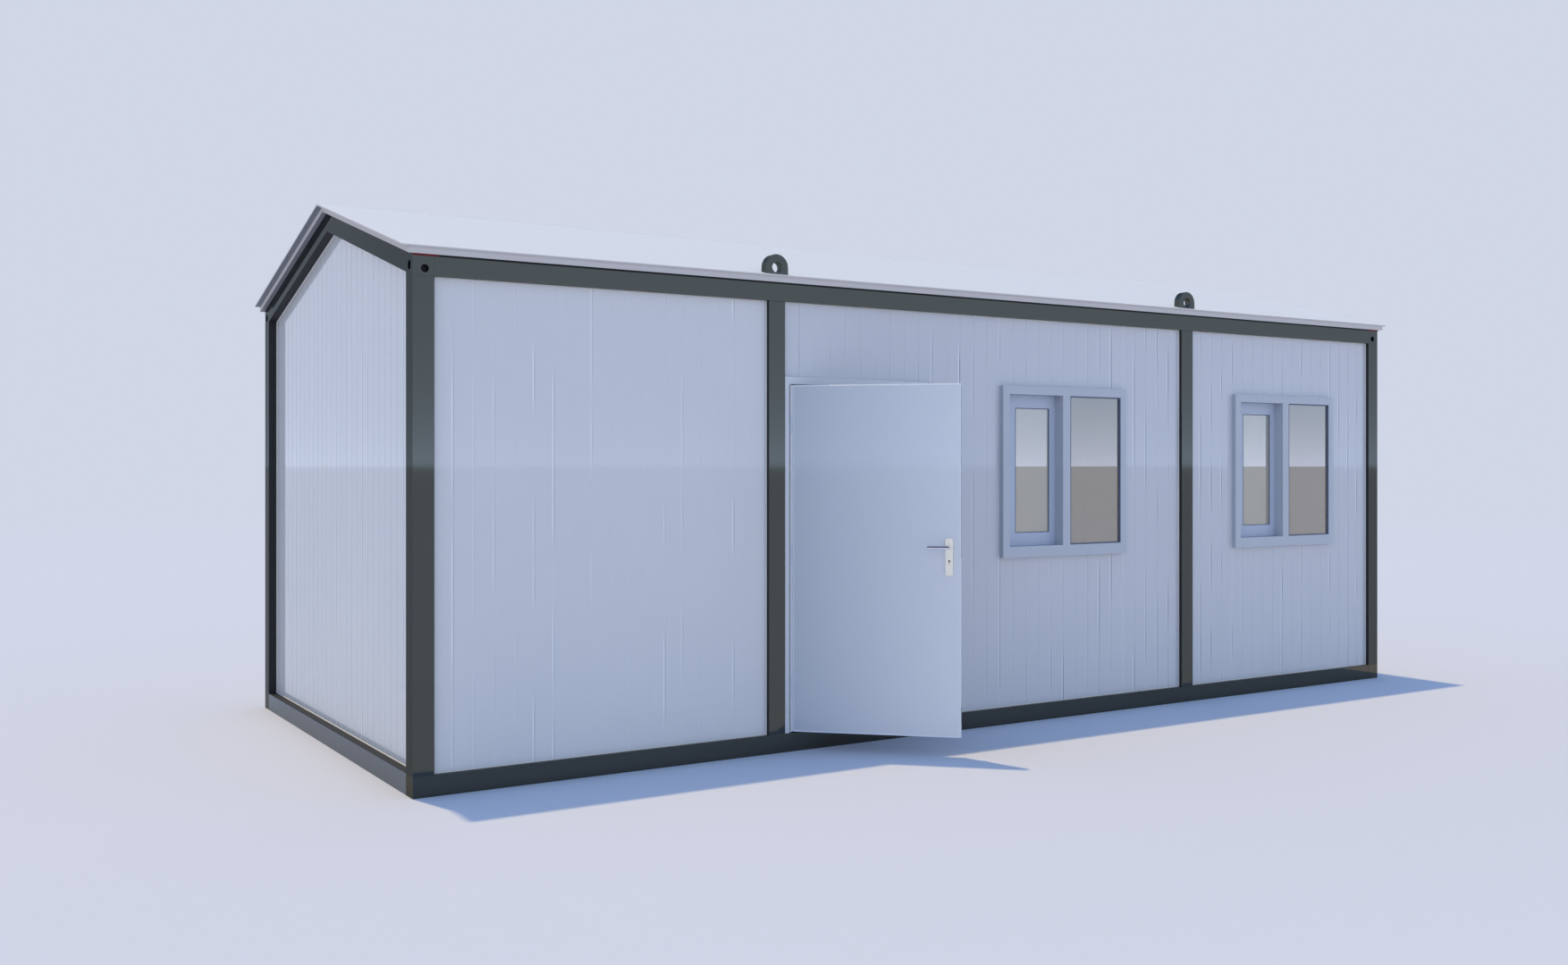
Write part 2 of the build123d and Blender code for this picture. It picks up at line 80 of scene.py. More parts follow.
def add_node(tree: Tree, kind: str, inputs: Optional[dict] = None, **settings: Any) -> Node:
    """Adds one node to a tree, with its settings and links.

    Args:
        tree: the node tree that gets the node.
        kind: the node's type, such as "ShaderNodeTexNoise".
        inputs: for a socket's name or number, its value or the output socket that feeds it.
        **settings: plain properties of the node, such as operation="ADD".

    Returns:
        The new node.
    """
    node = tree.nodes.new(kind)
    for name, value in settings.items():
        setattr(node, name, value)
    for socket, value in (inputs or {}).items():
        if isinstance(value, Socket):
            tree.links.new(value, node.inputs[socket])
        else:
            node.inputs[socket].default_value = value
    return node


class RibAxis(Enum):
    """The direction that a wall's upright rib lines are counted along."""

    LENGTH = "X"
    DEPTH = "Y"


@dataclass(frozen=True)
class Finish:
    """A plain surface finish. Each kind of finish adds the pattern that its real surface has.

    Attributes:
        name: the material's name.
        colour: its main colour, sRGB hex.
        roughness: how far it blurs what it mirrors.
        metallic: share that mirrors like bare metal.
        ior: index of refraction of its clear outer layer.
        edge_tint: colour of the mirror at a glancing view, sRGB hex.
    """

    name: str
    colour: str
    roughness: float
    metallic: float = 0.0
    ior: float = 1.5
    edge_tint: str = "#FFFFFF"

    def material(self) -> bpy.types.Material:
        """Makes the material on first use.

        Returns:
            The material.
        """
        found = bpy.data.materials.get(self.name)
        if found is not None:
            return found
        made = bpy.data.materials.new(self.name)
        made.use_nodes = True
        tree = made.node_tree
        shader = tree.nodes["Principled BSDF"]
        plain = {
            "Base Color": linear(self.colour), "Roughness": self.roughness, "Metallic": self.metallic,
            "IOR": self.ior, "Specular Tint": linear(self.edge_tint),
        }
        for socket, value in plain.items():
            shader.inputs[socket].default_value = value
        self.pattern(tree, shader)
        return made

    def pattern(self, tree: Tree, shader: Node) -> None:
        """Adds what the eye sees beside the plain colour. A bare finish adds nothing.

        Args:
            tree: the material's nodes.
            shader: its surface shader.
        """

    def surface(
        self, tree: Tree, shader: Node, tone: Optional[Socket] = None, drifts: Optional[Socket] = None,
        drift: float = 0.0, level: Optional[Socket] = None, depth_mm: float = 0.0,
    ) -> None:
        """Gives the surface its colour, gloss and level, where a finish has drawn them.

        Args:
            tree: the material's nodes.
            shader: its surface shader.
            tone: the drawn colour.
            drifts: the pattern that the roughness follows.
            drift: how far the roughness drifts up.
            level: the pattern that stands out of the surface.
            depth_mm: how far it stands out.
        """
        if tone is not None:
            tree.links.new(tone, shader.inputs["Base Color"])
        if drifts is not None:
            span = {0: drifts, 3: self.roughness, 4: self.roughness + drift}
            gloss = add_node(tree, "ShaderNodeMapRange", span)
            tree.links.new(gloss.outputs[0], shader.inputs["Roughness"])
        if level is not None:
            heights = {"Height": level, "Distance": depth_mm * MM, "Strength": 1.0}
            bump = add_node(tree, "ShaderNodeBump", heights)
            tree.links.new(bump.outputs[0], shader.inputs["Normal"])


@dataclass(frozen=True)
class CloudedFinish(Finish):
    """A coat whose tone, gloss and level drift a little from place to place, as sprayed coats do.

    Attributes:
        cloud_colour: the colour that the coat drifts towards.
        cloud_mm: width of the drifts.
        peel_mm: width of the fine waves in the coat, coarser than the real ones so that they show.
        peel_depth_mm: height of those waves.
        roughness_drift: how far the roughness drifts up.
    """

    cloud_colour: str = "#FFFFFF"
    cloud_mm: float = 700.0
    peel_mm: float = 18.0
    peel_depth_mm: float = 0.05
    roughness_drift: float = 0.08

    def pattern(self, tree: Tree, shader: Node) -> None:
        """Draws the drifts in colour and gloss, and the fine waves.

        Args:
            tree: the material's nodes.
            shader: its surface shader.
        """
        place = add_node(tree, "ShaderNodeTexCoord").outputs["Object"]
        clouds, peel = (
            add_node(tree, "ShaderNodeTexNoise", {"Vector": place, "Scale": 1 / width, "Detail": detail})
            for width, detail in ((self.cloud_mm * MM, 4.0), (self.peel_mm * MM, 2.0))
        )
        tones = {0: clouds.outputs[0], 6: linear(self.colour), 7: linear(self.cloud_colour)}
        coat = add_node(tree, "ShaderNodeMix", tones, data_type="RGBA").outputs[2]
        self.surface(
            tree, shader, tone=self.marked(tree, coat), drifts=clouds.outputs[0], drift=self.roughness_drift,
            level=peel.outputs[0], depth_mm=self.peel_depth_mm,
        )

    def marked(self, tree: Tree, coat: Socket) -> Socket:
        """Adds the marks that a special coat has. A plain one has none.

        Args:
            tree: the material's nodes.
            coat: the coat's colour.

        Returns:
            The colour with the marks.
        """
        return coat


@dataclass(frozen=True)
class RibbedSkin(Finish):
    """Polyester-coated steel skin of a sandwich panel, roll-formed with fine upright lines.

    Attributes:
        axis: the direction that the lines are counted along.
        groove_colour: lighter colour in a faint groove, which evens out the groove's own shade.
        groove_shade_colour: darker colour in a strong groove, painted shade.
        crest_highlight_colour: lighter colour of the bent edge beside a strong groove, painted highlight.
        cloud_colour: the colour that the coat drifts towards.
        pitch_mm: distance from line to line.
        groove_mm: width of a groove.
        crest_mm: width of a bright edge.
        crest_offset_mm: place of the bright edge beside its groove.
        wave_mm: width of the soft waves in the thin steel.
        wave_depth_mm: height of those waves.
        run_stretch: height scale of the runs in which a line comes and goes.
        lot_span: each line draws a lot from 0 to 1; between these it goes from faint to strong.
        run_span: levels of the runs between which it does so along its height.
    """

    axis: RibAxis = RibAxis.LENGTH
    groove_colour: str = "#DCE2EA"
    groove_shade_colour: str = "#C8CCD2"
    crest_highlight_colour: str = "#F0F3F7"
    cloud_colour: str = "#D3D8E1"
    pitch_mm: float = 100.0
    groove_mm: float = 6.0
    crest_mm: float = 5.0
    crest_offset_mm: float = -7.0
    wave_mm: float = 420.0
    wave_depth_mm: float = 0.12
    run_stretch: float = 0.2
    lot_span: Point = (0.3, 0.8)
    run_span: Point = (0.47, 0.6)

    def pattern(self, tree: Tree, shader: Node) -> None:
        """Draws the rib lines, each with a strength of its own, as painted shade in the grooves and painted
        highlights on the crests beside them, and the waves in the steel.

        Args:
            tree: the material's nodes.
            shader: its surface shader.
        """
        place = add_node(tree, "ShaderNodeTexCoord").outputs["Object"]
        along = add_node(tree, "ShaderNodeSeparateXYZ", {0: place}).outputs[self.axis.value]
        half = self.pitch_mm * MM / 2
        beside = add_node(tree, "ShaderNodeMath", {0: along, 1: half, 2: -half}, operation="WRAP").outputs[0]
        shifted = add_node(tree, "ShaderNodeMath", {0: along, 1: half}, operation="ADD").outputs[0]
        number = add_node(tree, "ShaderNodeMath", {0: shifted, 1: 2 * half}, operation="SNAP").outputs[0]
        lot = add_node(tree, "ShaderNodeTexWhiteNoise", {"W": number}, noise_dimensions="1D").outputs[0]
        tall = add_node(tree, "ShaderNodeMapping", {0: place, 3: (1.0, 1.0, self.run_stretch)}).outputs[0]
        runs, waves = (
            add_node(tree, "ShaderNodeTexNoise", {"Vector": spot, "Scale": 1 / width, "Detail": detail})
            for spot, width, detail in ((tall, self.pitch_mm * MM, 1.0), (place, self.wave_mm * MM, 2.0))
        )
        own, seen = (
            add_node(tree, "ShaderNodeMapRange", {0: value, 1: low, 2: high})
            for value, (low, high) in ((lot, self.lot_span), (runs.outputs[0], self.run_span))
        )
        both = {0: own.outputs[0], 1: seen.outputs[0]}
        strong = add_node(tree, "ShaderNodeMath", both, operation="MULTIPLY").outputs[0]
        faint = add_node(tree, "ShaderNodeMath", {0: 1.0, 1: strong}, operation="SUBTRACT").outputs[0]
        tones = {0: waves.outputs[0], 6: linear(self.colour), 7: linear(self.cloud_colour)}
        tone = add_node(tree, "ShaderNodeMix", tones, data_type="RGBA").outputs[2]
        # A faint groove gets a lighter colour against its own shade; a strong one gets painted shade, with a
        # painted highlight on the crest beside it.
        for colour, middle_mm, width_mm, amount in (
            (self.groove_colour, 0.0, self.groove_mm, faint),
            (self.groove_shade_colour, 0.0, self.groove_mm, strong),
            (self.crest_highlight_colour, self.crest_offset_mm, self.crest_mm, strong),
        ):
            strip = {0: beside, 1: middle_mm * MM, 2: width_mm * MM / 2}
            line = add_node(tree, "ShaderNodeMath", strip, operation="COMPARE").outputs[0]
            share = add_node(tree, "ShaderNodeMath", {0: line, 1: amount}, operation="MULTIPLY").outputs[0]
            tones = {0: share, 6: tone, 7: linear(colour)}
            tone = add_node(tree, "ShaderNodeMix", tones, data_type="RGBA").outputs[2]
        self.surface(tree, shader, tone=tone, level=waves.outputs[0], depth_mm=self.wave_depth_mm)


@dataclass(frozen=True)
class BackedSheet(CloudedFinish):
    """Coated steel sheet with plain cut edges and a grey backing coat underneath; the tones of edges and underside
    are picked by facing and set darker as painted shade.

    Attributes:
        edge_colour: colour of the edges, a painted shade tone.
        back_colour: colour of the backing coat, darkened as painted shade.
        flat_share: upward share of a face's direction from which it counts as top, or as underside.
    """

    edge_colour: str = "#CCC7C4"
    back_colour: str = "#7C818C"
    flat_share: float = 0.5

    def marked(self, tree: Tree, coat: Socket) -> Socket:
        """Adds the edge tone, and the backing coat on faces that look down, both as painted shade.

        Args:
            tree: the material's nodes.
            coat: the top coat's colour.

        Returns:
            The colour of all faces.
        """
        facing = add_node(tree, "ShaderNodeTexCoord").outputs["Normal"]
        upward = add_node(tree, "ShaderNodeSeparateXYZ", {0: facing}).outputs["Z"]
        over = add_node(tree, "ShaderNodeMath", {0: upward, 1: self.flat_share}, operation="GREATER_THAN")
        under = add_node(tree, "ShaderNodeMath", {0: upward, 1: -self.flat_share}, operation="LESS_THAN")
        tones = {0: over.outputs[0], 6: linear(self.edge_colour), 7: coat}
        edged = add_node(tree, "ShaderNodeMix", tones, data_type="RGBA").outputs[2]
        tones = {0: under.outputs[0], 6: edged, 7: linear(self.back_colour)}
        return add_node(tree, "ShaderNodeMix", tones, data_type="RGBA").outputs[2]


@dataclass(frozen=True)
class PaintedReflectionFinish(CloudedFinish):
    """A coat with a warm brown band near the floor: painted reflection of the shaded ground.

    Attributes:
        ground_reflection_colour: colour of the band.
        reflection_band_mm: height up to which it has that colour.
        reflection_band_end_mm: height at which the band ends.
    """

    ground_reflection_colour: str = "#666359"
    reflection_band_mm: float = 94.0
    reflection_band_end_mm: float = 104.0

    def marked(self, tree: Tree, coat: Socket) -> Socket:
        """Adds the painted reflection band near the floor.

        Args:
            tree: the material's nodes.
            coat: the coat's colour.

        Returns:
            The colour with the band.
        """
        place = add_node(tree, "ShaderNodeTexCoord").outputs["Object"]
        height = add_node(tree, "ShaderNodeSeparateXYZ", {0: place}).outputs["Z"]
        span = {0: height, 1: self.reflection_band_mm * MM, 2: self.reflection_band_end_mm * MM}
        above_band = add_node(tree, "ShaderNodeMapRange", span).outputs[0]
        tones = {0: above_band, 6: linear(self.ground_reflection_colour), 7: coat}
        return add_node(tree, "ShaderNodeMix", tones, data_type="RGBA").outputs[2]


@dataclass(frozen=True)
class ShadedAcrossPaint(CloudedFinish):
    """Paint that is darker at one side of a piece and lighter at the other: painted shade, as beside a door's
    hinge.

    Attributes:
        lit_end_colour: colour at the end of the piece with the highest X, where the painted shade is lightest.
    """

    lit_end_colour: str = "#FFFFFF"

    def marked(self, tree: Tree, coat: Socket) -> Socket:
        """Adds the painted shade across the piece.

        Args:
            tree: the material's nodes.
            coat: the paint's colour.

        Returns:
            The colour with the painted shade.
        """
        place = add_node(tree, "ShaderNodeTexCoord").outputs["Generated"]
        across = add_node(tree, "ShaderNodeSeparateXYZ", {0: place}).outputs["X"]
        tones = {0: across, 6: coat, 7: linear(self.lit_end_colour)}
        return add_node(tree, "ShaderNodeMix", tones, data_type="RGBA").outputs[2]


@dataclass(frozen=True)
class MirrorGlass(Finish):
    """Bronze float glass under a clear mirror coat that went a little milky: it hides most of the dark room. Its
    warm milky tone is partly painted reflection of the ground, and the cooler tint towards its top is painted
    reflection.

    Attributes:
        clear_share: share of the glass that is clear.
        coat_ior: index of refraction of the mirror coat, which sets how much it mirrors.
        film_mm: width of the drifts in the film of dust.
        film_roughness: how far the film blurs the pane.
        toward_top_colour: colour at the top edge, a painted reflection tone.
        toward_top_from_share: share of the pane's height above which that tint comes in.
    """

    clear_share: float = 0.65
    coat_ior: float = 2.45
    film_mm: float = 160.0
    film_roughness: float = 0.02
    toward_top_colour: str = "#9CA69A"
    toward_top_from_share: float = 0.5

    def pattern(self, tree: Tree, shader: Node) -> None:
        """Lets light through a mirror coat, with a faint film, and tints the pane towards its top as painted
        reflection.

        Args:
            tree: the material's nodes.
            shader: its surface shader.
        """
        mirror = {
            "Transmission Weight": self.clear_share, "Coat Weight": 1.0, "Coat IOR": self.coat_ior,
            "Coat Roughness": 0.0,
        }
        for socket, value in mirror.items():
            shader.inputs[socket].default_value = value
        place = add_node(tree, "ShaderNodeTexCoord").outputs
        drifts = {"Vector": place["Object"], "Scale": 1 / (self.film_mm * MM), "Detail": 3.0}
        film = add_node(tree, "ShaderNodeTexNoise", drifts).outputs[0]
        height = add_node(tree, "ShaderNodeSeparateXYZ", {0: place["Generated"]}).outputs["Z"]
        toward_top = add_node(tree, "ShaderNodeMapRange", {0: height, 1: self.toward_top_from_share}).outputs[0]
        tones = {0: toward_top, 6: linear(self.colour), 7: linear(self.toward_top_colour)}
        tone = add_node(tree, "ShaderNodeMix", tones, data_type="RGBA").outputs[2]
        self.surface(tree, shader, tone=tone, drifts=film, drift=self.film_roughness)


@dataclass(frozen=True)
class BoardFloor(Finish):
    """Film-faced plywood sheets laid end to end: brown film, a fine grain under it, dark joints.

    Attributes:
        grain_colour: colour of the darker grain.
        joint_colour: colour of the joints.
        sheet_length_mm: length of a sheet.
        sheet_width_mm: width of a sheet.
        joint_mm: width of a joint.
        grain_mm: spacing of the grain.
        grain_stretch: length scale of the grain along a sheet.
        grain_depth_mm: height of the grain.
    """

    grain_colour: str = "#5E4C3C"
    joint_colour: str = "#2C241D"
    sheet_length_mm: float = 2440.0
    sheet_width_mm: float = 1220.0
    joint_mm: float = 4.0
    grain_mm: float = 22.0
    grain_stretch: float = 0.12
    grain_depth_mm: float = 0.2

    def pattern(self, tree: Tree, shader: Node) -> None:
        """Draws the grain along the sheets and the joints between them.

        Args:
            tree: the material's nodes.
            shader: its surface shader.
        """
        place = add_node(tree, "ShaderNodeTexCoord").outputs["Object"]
        drawn = add_node(tree, "ShaderNodeMapping", {0: place, 3: (self.grain_stretch, 1.0, 1.0)}).outputs[0]
        lines = {"Vector": drawn, "Scale": 1 / (self.grain_mm * MM), "Detail": 6.0}
        grain = add_node(tree, "ShaderNodeTexNoise", lines).outputs[0]
        tones = {0: grain, 6: linear(self.colour), 7: linear(self.grain_colour)}
        wood = add_node(tree, "ShaderNodeMix", tones, data_type="RGBA").outputs[2]
        sheets = add_node(tree, "ShaderNodeTexBrick", {
            "Vector": place, "Color1": wood, "Color2": wood, "Mortar": linear(self.joint_colour),
            "Scale": 1.0, "Mortar Size": self.joint_mm * MM, "Brick Width": self.sheet_length_mm * MM,
            "Row Height": self.sheet_width_mm * MM,
        })
        self.surface(tree, shader, tone=sheets.outputs["Color"], level=grain, depth_mm=self.grain_depth_mm)


@dataclass(frozen=True)
class BrushedMetal(Finish):
    """Metal drawn through a die or brushed: fine streaks along one direction stretch its highlights.

    Attributes:
        streak_mm: width of the streaks, coarser than the real ones so that they show.
        streak_stretch: how many times longer than wide a streak is.
        streak_roughness: how far the streaks dull the metal.
        streak_depth_mm: height of the streaks.
    """

    streak_mm: float = 1.2
    streak_stretch: float = 30.0
    streak_roughness: float = 0.12
    streak_depth_mm: float = 0.03

    def pattern(self, tree: Tree, shader: Node) -> None:
        """Draws the streaks in the gloss and the level.

        Args:
            tree: the material's nodes.
            shader: its surface shader.
        """
        place = add_node(tree, "ShaderNodeTexCoord").outputs["Object"]
        stretch = (1.0, 1.0, 1 / self.streak_stretch)
        drawn = add_node(tree, "ShaderNodeMapping", {0: place, 3: stretch}).outputs[0]
        lines = {"Vector": drawn, "Scale": 1 / (self.streak_mm * MM), "Detail": 3.0}
        streaks = add_node(tree, "ShaderNodeTexNoise", lines).outputs[0]
        self.surface(
            tree, shader, drifts=streaks, drift=self.streak_roughness, level=streaks,
            depth_mm=self.streak_depth_mm,
        )


# Anthracite gloss enamel on steel box sections: a dark, even mirror of sky and ground.
FRAME_ENAMEL = CloudedFinish(
    "anthracite_enamel_on_steel", "#575B57", 0.03, metallic=1.0, edge_tint="#B8BABB", cloud_colour="#525652",
    cloud_mm=900, peel_mm=60, peel_depth_mm=0.01, roughness_drift=0.02,
)
# The same enamel on the long sills and the feet of the corner posts, with a warm brown band near the floor:
# painted reflection of the shaded ground.
ENAMEL_WITH_PAINTED_REFLECTION = PaintedReflectionFinish(**{**vars(FRAME_ENAMEL), "name": "enamel_with_painted_ground_reflection"})
# The same enamel on the end sills, lighter and with a paler mirror tint: painted reflection.
END_SILL_PAINTED_REFLECTION = replace(
    FRAME_ENAMEL, name="enamel_with_painted_reflection_on_end_sills", colour="#80868B", cloud_colour="#7B8186",
    edge_tint="#D2D6DC",
)
# Coated steel skins of the wall panels: pale, satin, with fine lines and a faint mirror. They are copies of one
# coat in painted light and shade: the left bay and the rear wall lighter, the gables lighter still, the other
# front panels darker.
LEFT_SKIN = RibbedSkin(
    "coated_steel_panel_painted_lighter", "#D8DBDE", 0.03, groove_colour="#DDE0E3", cloud_colour="#D3D6DA"
)
FRONT_SKIN = RibbedSkin(
    "coated_steel_panel_painted_darker", "#CDD1D7", 0.03, groove_colour="#D2D6DC", cloud_colour="#C8CCD3",
    groove_shade_colour="#76829A", crest_highlight_colour="#FCFDFF",
)
# Over the door: the same skin with fainter painted groove shade and crest highlights.
HEAD_SKIN = replace(
    FRONT_SKIN, name="coated_steel_panel_over_door", groove_shade_colour="#B4BBC6", crest_highlight_colour="#D5D9DF"
)
GABLE_SKIN = RibbedSkin(
    "coated_steel_gable_skin", "#DADCDE", 0.03, axis=RibAxis.DEPTH, groove_colour="#E4E6E8",
    cloud_colour="#D4D6D9", groove_shade_colour="#B6BABF", crest_mm=12, crest_offset_mm=10,
)
# Pale coated edge of the roof panels: matt, a little darker than the sheet on top of it; the tones of its edges
# and underside are painted shade.
ROOF_EDGE_COAT = BackedSheet(
    "coated_steel_roof_edge", "#C9CBD0", 0.45, cloud_colour="#BFC2C8", cloud_mm=600, back_colour="#8A8D96"
)
# Pale blue-grey coated steel roof sheet: matt from weather, nearly as light as the sky.
ROOF_SHEET_COAT = BackedSheet(
    "coated_steel_roof_sheet", "#D3D9E4", 0.5, cloud_colour="#CFD6E2", cloud_mm=1400, peel_mm=60,
    peel_depth_mm=0.2,
)
# Satin paint on a pressed steel door: pale and smooth, with a soft sheen.
DOOR_PAINT = CloudedFinish(
    "satin_paint_on_steel_door", "#CFD4DA", 0.04, cloud_colour="#CAD0D7", cloud_mm=500, peel_mm=80,
    peel_depth_mm=0.01, roughness_drift=0.02,
)
# The same paint on the leaf, which stands ajar: darker at the hinge side and lighter towards its free edge, as
# painted shade.
LEAF_PAINT = ShadedAcrossPaint(
    "paint_with_painted_shade_on_door_leaf", "#BAC2CD", 0.04, cloud_colour="#B6BFCA", cloud_mm=500, peel_mm=80,
    peel_depth_mm=0.01, roughness_drift=0.02, lit_end_colour="#DDE1E7",
)
# The folded edges of the door leaf: the same paint, lighter as a painted highlight.
EDGE_PAINT = CloudedFinish(
    "painted_highlight_on_folded_edge", "#E9EEF6", 0.3, cloud_colour="#DDE4EF", cloud_mm=200, peel_mm=12,
    peel_depth_mm=0.03,
)
# Extruded vinyl window casing: pale, smooth and slightly glossy.
CASING_VINYL = CloudedFinish(
    "extruded_vinyl_casing", "#B6BDC8", 0.25, cloud_colour="#BCC3CD", cloud_mm=300, peel_mm=30,
    peel_depth_mm=0.02,
)
# Extruded vinyl sash: a blue-grey tone darker than the casing, painted shade for the sash set back in the casing.
SASH_VINYL = CloudedFinish(
    "extruded_vinyl_sash_painted_shade", "#B4BFD2", 0.3, cloud_colour="#BAC4D6", cloud_mm=250, peel_mm=30,
    peel_depth_mm=0.02,
)
# Bronze solar glass: a mirror of sky and ground over a warm grey, which is partly painted reflection of the
# ground; the sliding pane is milkier.
FIXED_GLASS = MirrorGlass("mirror_coated_bronze_glass", "#C4B39A", 0.0, ior=1.52)
SASH_GLASS = MirrorGlass(
    "milky_bronze_glass", "#D0C8B0", 0.0, ior=1.52, clear_share=0.5, coat_ior=2.6, toward_top_colour="#C0C5B6"
)
# Hinges painted over with the door: pale like the frame, a little glossier.
HINGE_PAINT = CloudedFinish(
    "painted_steel_hinges", "#C4CCD9", 0.3, cloud_colour="#BCC5D3", cloud_mm=60, peel_mm=6, peel_depth_mm=0.02
)
# Satin anodised aluminium back plates: warm pale metal with upright brush marks.
PLATE_METAL = BrushedMetal("satin_anodised_aluminium", "#EAE7DA", 0.22, metallic=1.0)
# Nickel-plated steel lever: bright metal with marks from drawing.
LEVER_METAL = BrushedMetal("nickel_plated_steel", "#E6E8EC", 0.06, metallic=1.0)
# Oxidised brass key barrel: dark warm metal, nearly without a mirror.
BARREL_BRASS = BrushedMetal("oxidised_brass", "#3E2822", 0.45, metallic=0.3)
# Strip on the upper side of the levers: slate-grey and dull, a painted dark reflection on the upper half of the
# bright bar.
DARK_REFLECTION_STRIP = CloudedFinish(
    "painted_dark_reflection", "#50566A", 0.45, cloud_colour="#5A6074", cloud_mm=60, peel_mm=4
)
# Rubber glazing and door seals: black, matt and slightly uneven. The same black stands in as painted shade on the
# strips beside the posts and gables, under the eaves and in the lashing cups.
RUBBER_SEAL_AND_SHADE = CloudedFinish(
    "rubber_seal_and_painted_shade", "#121419", 0.6, cloud_colour="#1B1D22", cloud_mm=120, peel_mm=8
)
# Glazing gasket of the panes: dark blue-grey rubber.
GASKET_RUBBER = CloudedFinish(
    "glazing_gasket_rubber", "#566078", 0.5, cloud_colour="#5E6880", cloud_mm=120, peel_mm=8
)
# Gun-laid polyurethane mastic along the panel edges: pale cream, uneven and dull.
EDGE_MASTIC = CloudedFinish(
    "polyurethane_mastic", "#D9D6CF", 0.6, cloud_colour="#CBC8C4", cloud_mm=150, peel_mm=30
)
# Foam closure strip under the eaves: dark red, open and dull.
CLOSURE_FOAM = CloudedFinish(
    "expanding_foam_strip", "#8E2A2E", 0.8, cloud_colour="#6E2226", cloud_mm=90, peel_mm=7
)
# Film-faced plywood floor.
FLOOR_BOARD = BoardFloor("film_faced_plywood", "#7A6551", 0.45)


def dress(node: str, finish: Finish) -> bpy.types.Object:
    """Gives a CAD node a finish.

    Args:
        node: the node's name.
        finish: its finish.

    Returns:
        The node's object.
    """
    shown = frame["nodes"][node]
    shown.data.materials.clear()
    shown.data.materials.append(finish.material())
    log.info("dressed %s with %s", node, finish.name)
    return shown


def soften(shown: bpy.types.Object, width_mm: float, segments: int = 2) -> None:
    """Rounds the sharp edges of a CAD node a little, so that they catch light.

    Args:
        shown: the node's object.
        width_mm: width of the rounding.
        segments: number of steps in it.
    """
    shown.modifiers.new("joined_faces", "WELD").merge_threshold = JOINED_MM * MM
    rounding = shown.modifiers.new("rounded_edges", "BEVEL")
    rounding.width = width_mm * MM
    rounding.segments = segments
    rounding.limit_method = "ANGLE"
    rounding.angle_limit = math.radians(SHARP_DEG)
    shown.modifiers.new("even_light", "WEIGHTED_NORMAL").keep_sharp = True


def add_piece(name: str, build: Callable[[Shape], None], finish: Finish, body: str) -> None:
    """Makes a new piece from mesh code and lets it ride on a CAD body.

    Args:
        name: the piece's name.
        build: function that fills the mesh.
        finish: the piece's finish.
        body: the CAD body that carries it.
    """
    shape = bmesh.new()
    build(shape)
    bmesh.ops.remove_doubles(shape, verts=shape.verts, dist=SAME_PLACE_MM * MM)
    bmesh.ops.recalc_face_normals(shape, faces=shape.faces)
    mesh = bpy.data.meshes.new(name)
    shape.to_mesh(mesh)
    shape.free()
    mesh.materials.append(finish.material())
    piece = bpy.data.objects.new(name, mesh)
    bpy.context.scene.collection.objects.link(piece)
    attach(piece, body)
    log.info("built %s on %s, %d faces", name, body, len(mesh.polygons))


def sweep_loops(shape: Shape, loops: Sequence[Sequence[Vector]], closed: bool) -> None:
    """Skins a row of like loops of points into a solid bar or ring.

    Args:
        shape: the mesh that gets the faces.
        loops: the section's points at each station.
        closed: true if the last station meets the first.
    """
    rows = [[shape.verts.new(point) for point in loop] for loop in loops]
    count = len(rows[0])
    pairs = list(zip(rows, rows[1:])) + ([(rows[-1], rows[0])] if closed else [])
    for first, second in pairs:
        for i in range(count):
            j = (i + 1) % count
            shape.faces.new((first[i], first[j], second[j], second[i]))
    if not closed:
        shape.faces.new(rows[0])
        shape.faces.new(rows[-1])


def scaled(points: Sequence[Point], width_mm: float = 1.0, height_mm: float = 1.0) -> list[Point]:
    """Points in metres, from shares of a width and a height, or from mm where neither is given."""
    return [(a * width_mm * MM, b * height_mm * MM) for a, b in points]


def rectangle(left: float, low: float, right: float, high: float) -> list[Point]:
    """The four corners of a rectangle in order."""
    return [(left, low), (right, low), (right, high), (left, high)]


def arc(width: float, height: float, first_deg: float, last_deg: float, steps: int) -> list[Point]:
    """Points on a part of a circle or an ellipse.

    Args:
        width: half its width.
        height: half its height.
        first_deg: where it starts, counted from level.
        last_deg: where it ends.
        steps: number of steps between its points.

    Returns:
        The points from the first to the last.
    """
    turns = [math.radians(first_deg + (last_deg - first_deg) * i / steps) for i in range(steps + 1)]
    return [(width * math.cos(t), height * math.sin(t)) for t in turns]


def polygon_ring(shape: Shape, corners: Sequence[Vector], out: Vector, section: Sequence[Point]) -> None:
    """Adds a ring with mitred corners along the inside of a flat polygon.

    Args:
        shape: the mesh that gets the ring.
        corners: the polygon's corners in order.
        out: direction that its face looks in.
        section: points as (distance inwards from the edge, distance outwards from the face).
    """
    count = len(corners)
    turn = sum((corners[i].cross(corners[(i + 1) % count]) for i in range(count)), Vector()).dot(out)
    ordered = list(corners) if turn > 0 else list(reversed(corners))
    loops = []
    for i, corner in enumerate(ordered):
        before = out.cross((corner - ordered[i - 1]).normalized())
        after = out.cross((ordered[(i + 1) % count] - corner).normalized())
        mitre = (before + after) / (1 + before.dot(after))
        loops.append([corner + mitre * inward + out * forward for inward, forward in section])
    sweep_loops(shape, loops, closed=True)


def upright_rectangle(low: Vector, high: Vector, y: float) -> list[Vector]:
    """Corners of an upright rectangle that faces the front or the rear.

    Args:
        low: a corner with its lowest X and Z.
        high: a corner with its highest X and Z.
        y: place of its face.

    Returns:
        The four corners in order.
    """
    return [Vector((x, y, z)) for x, z in rectangle(low.x, low.z, high.x, high.z)]


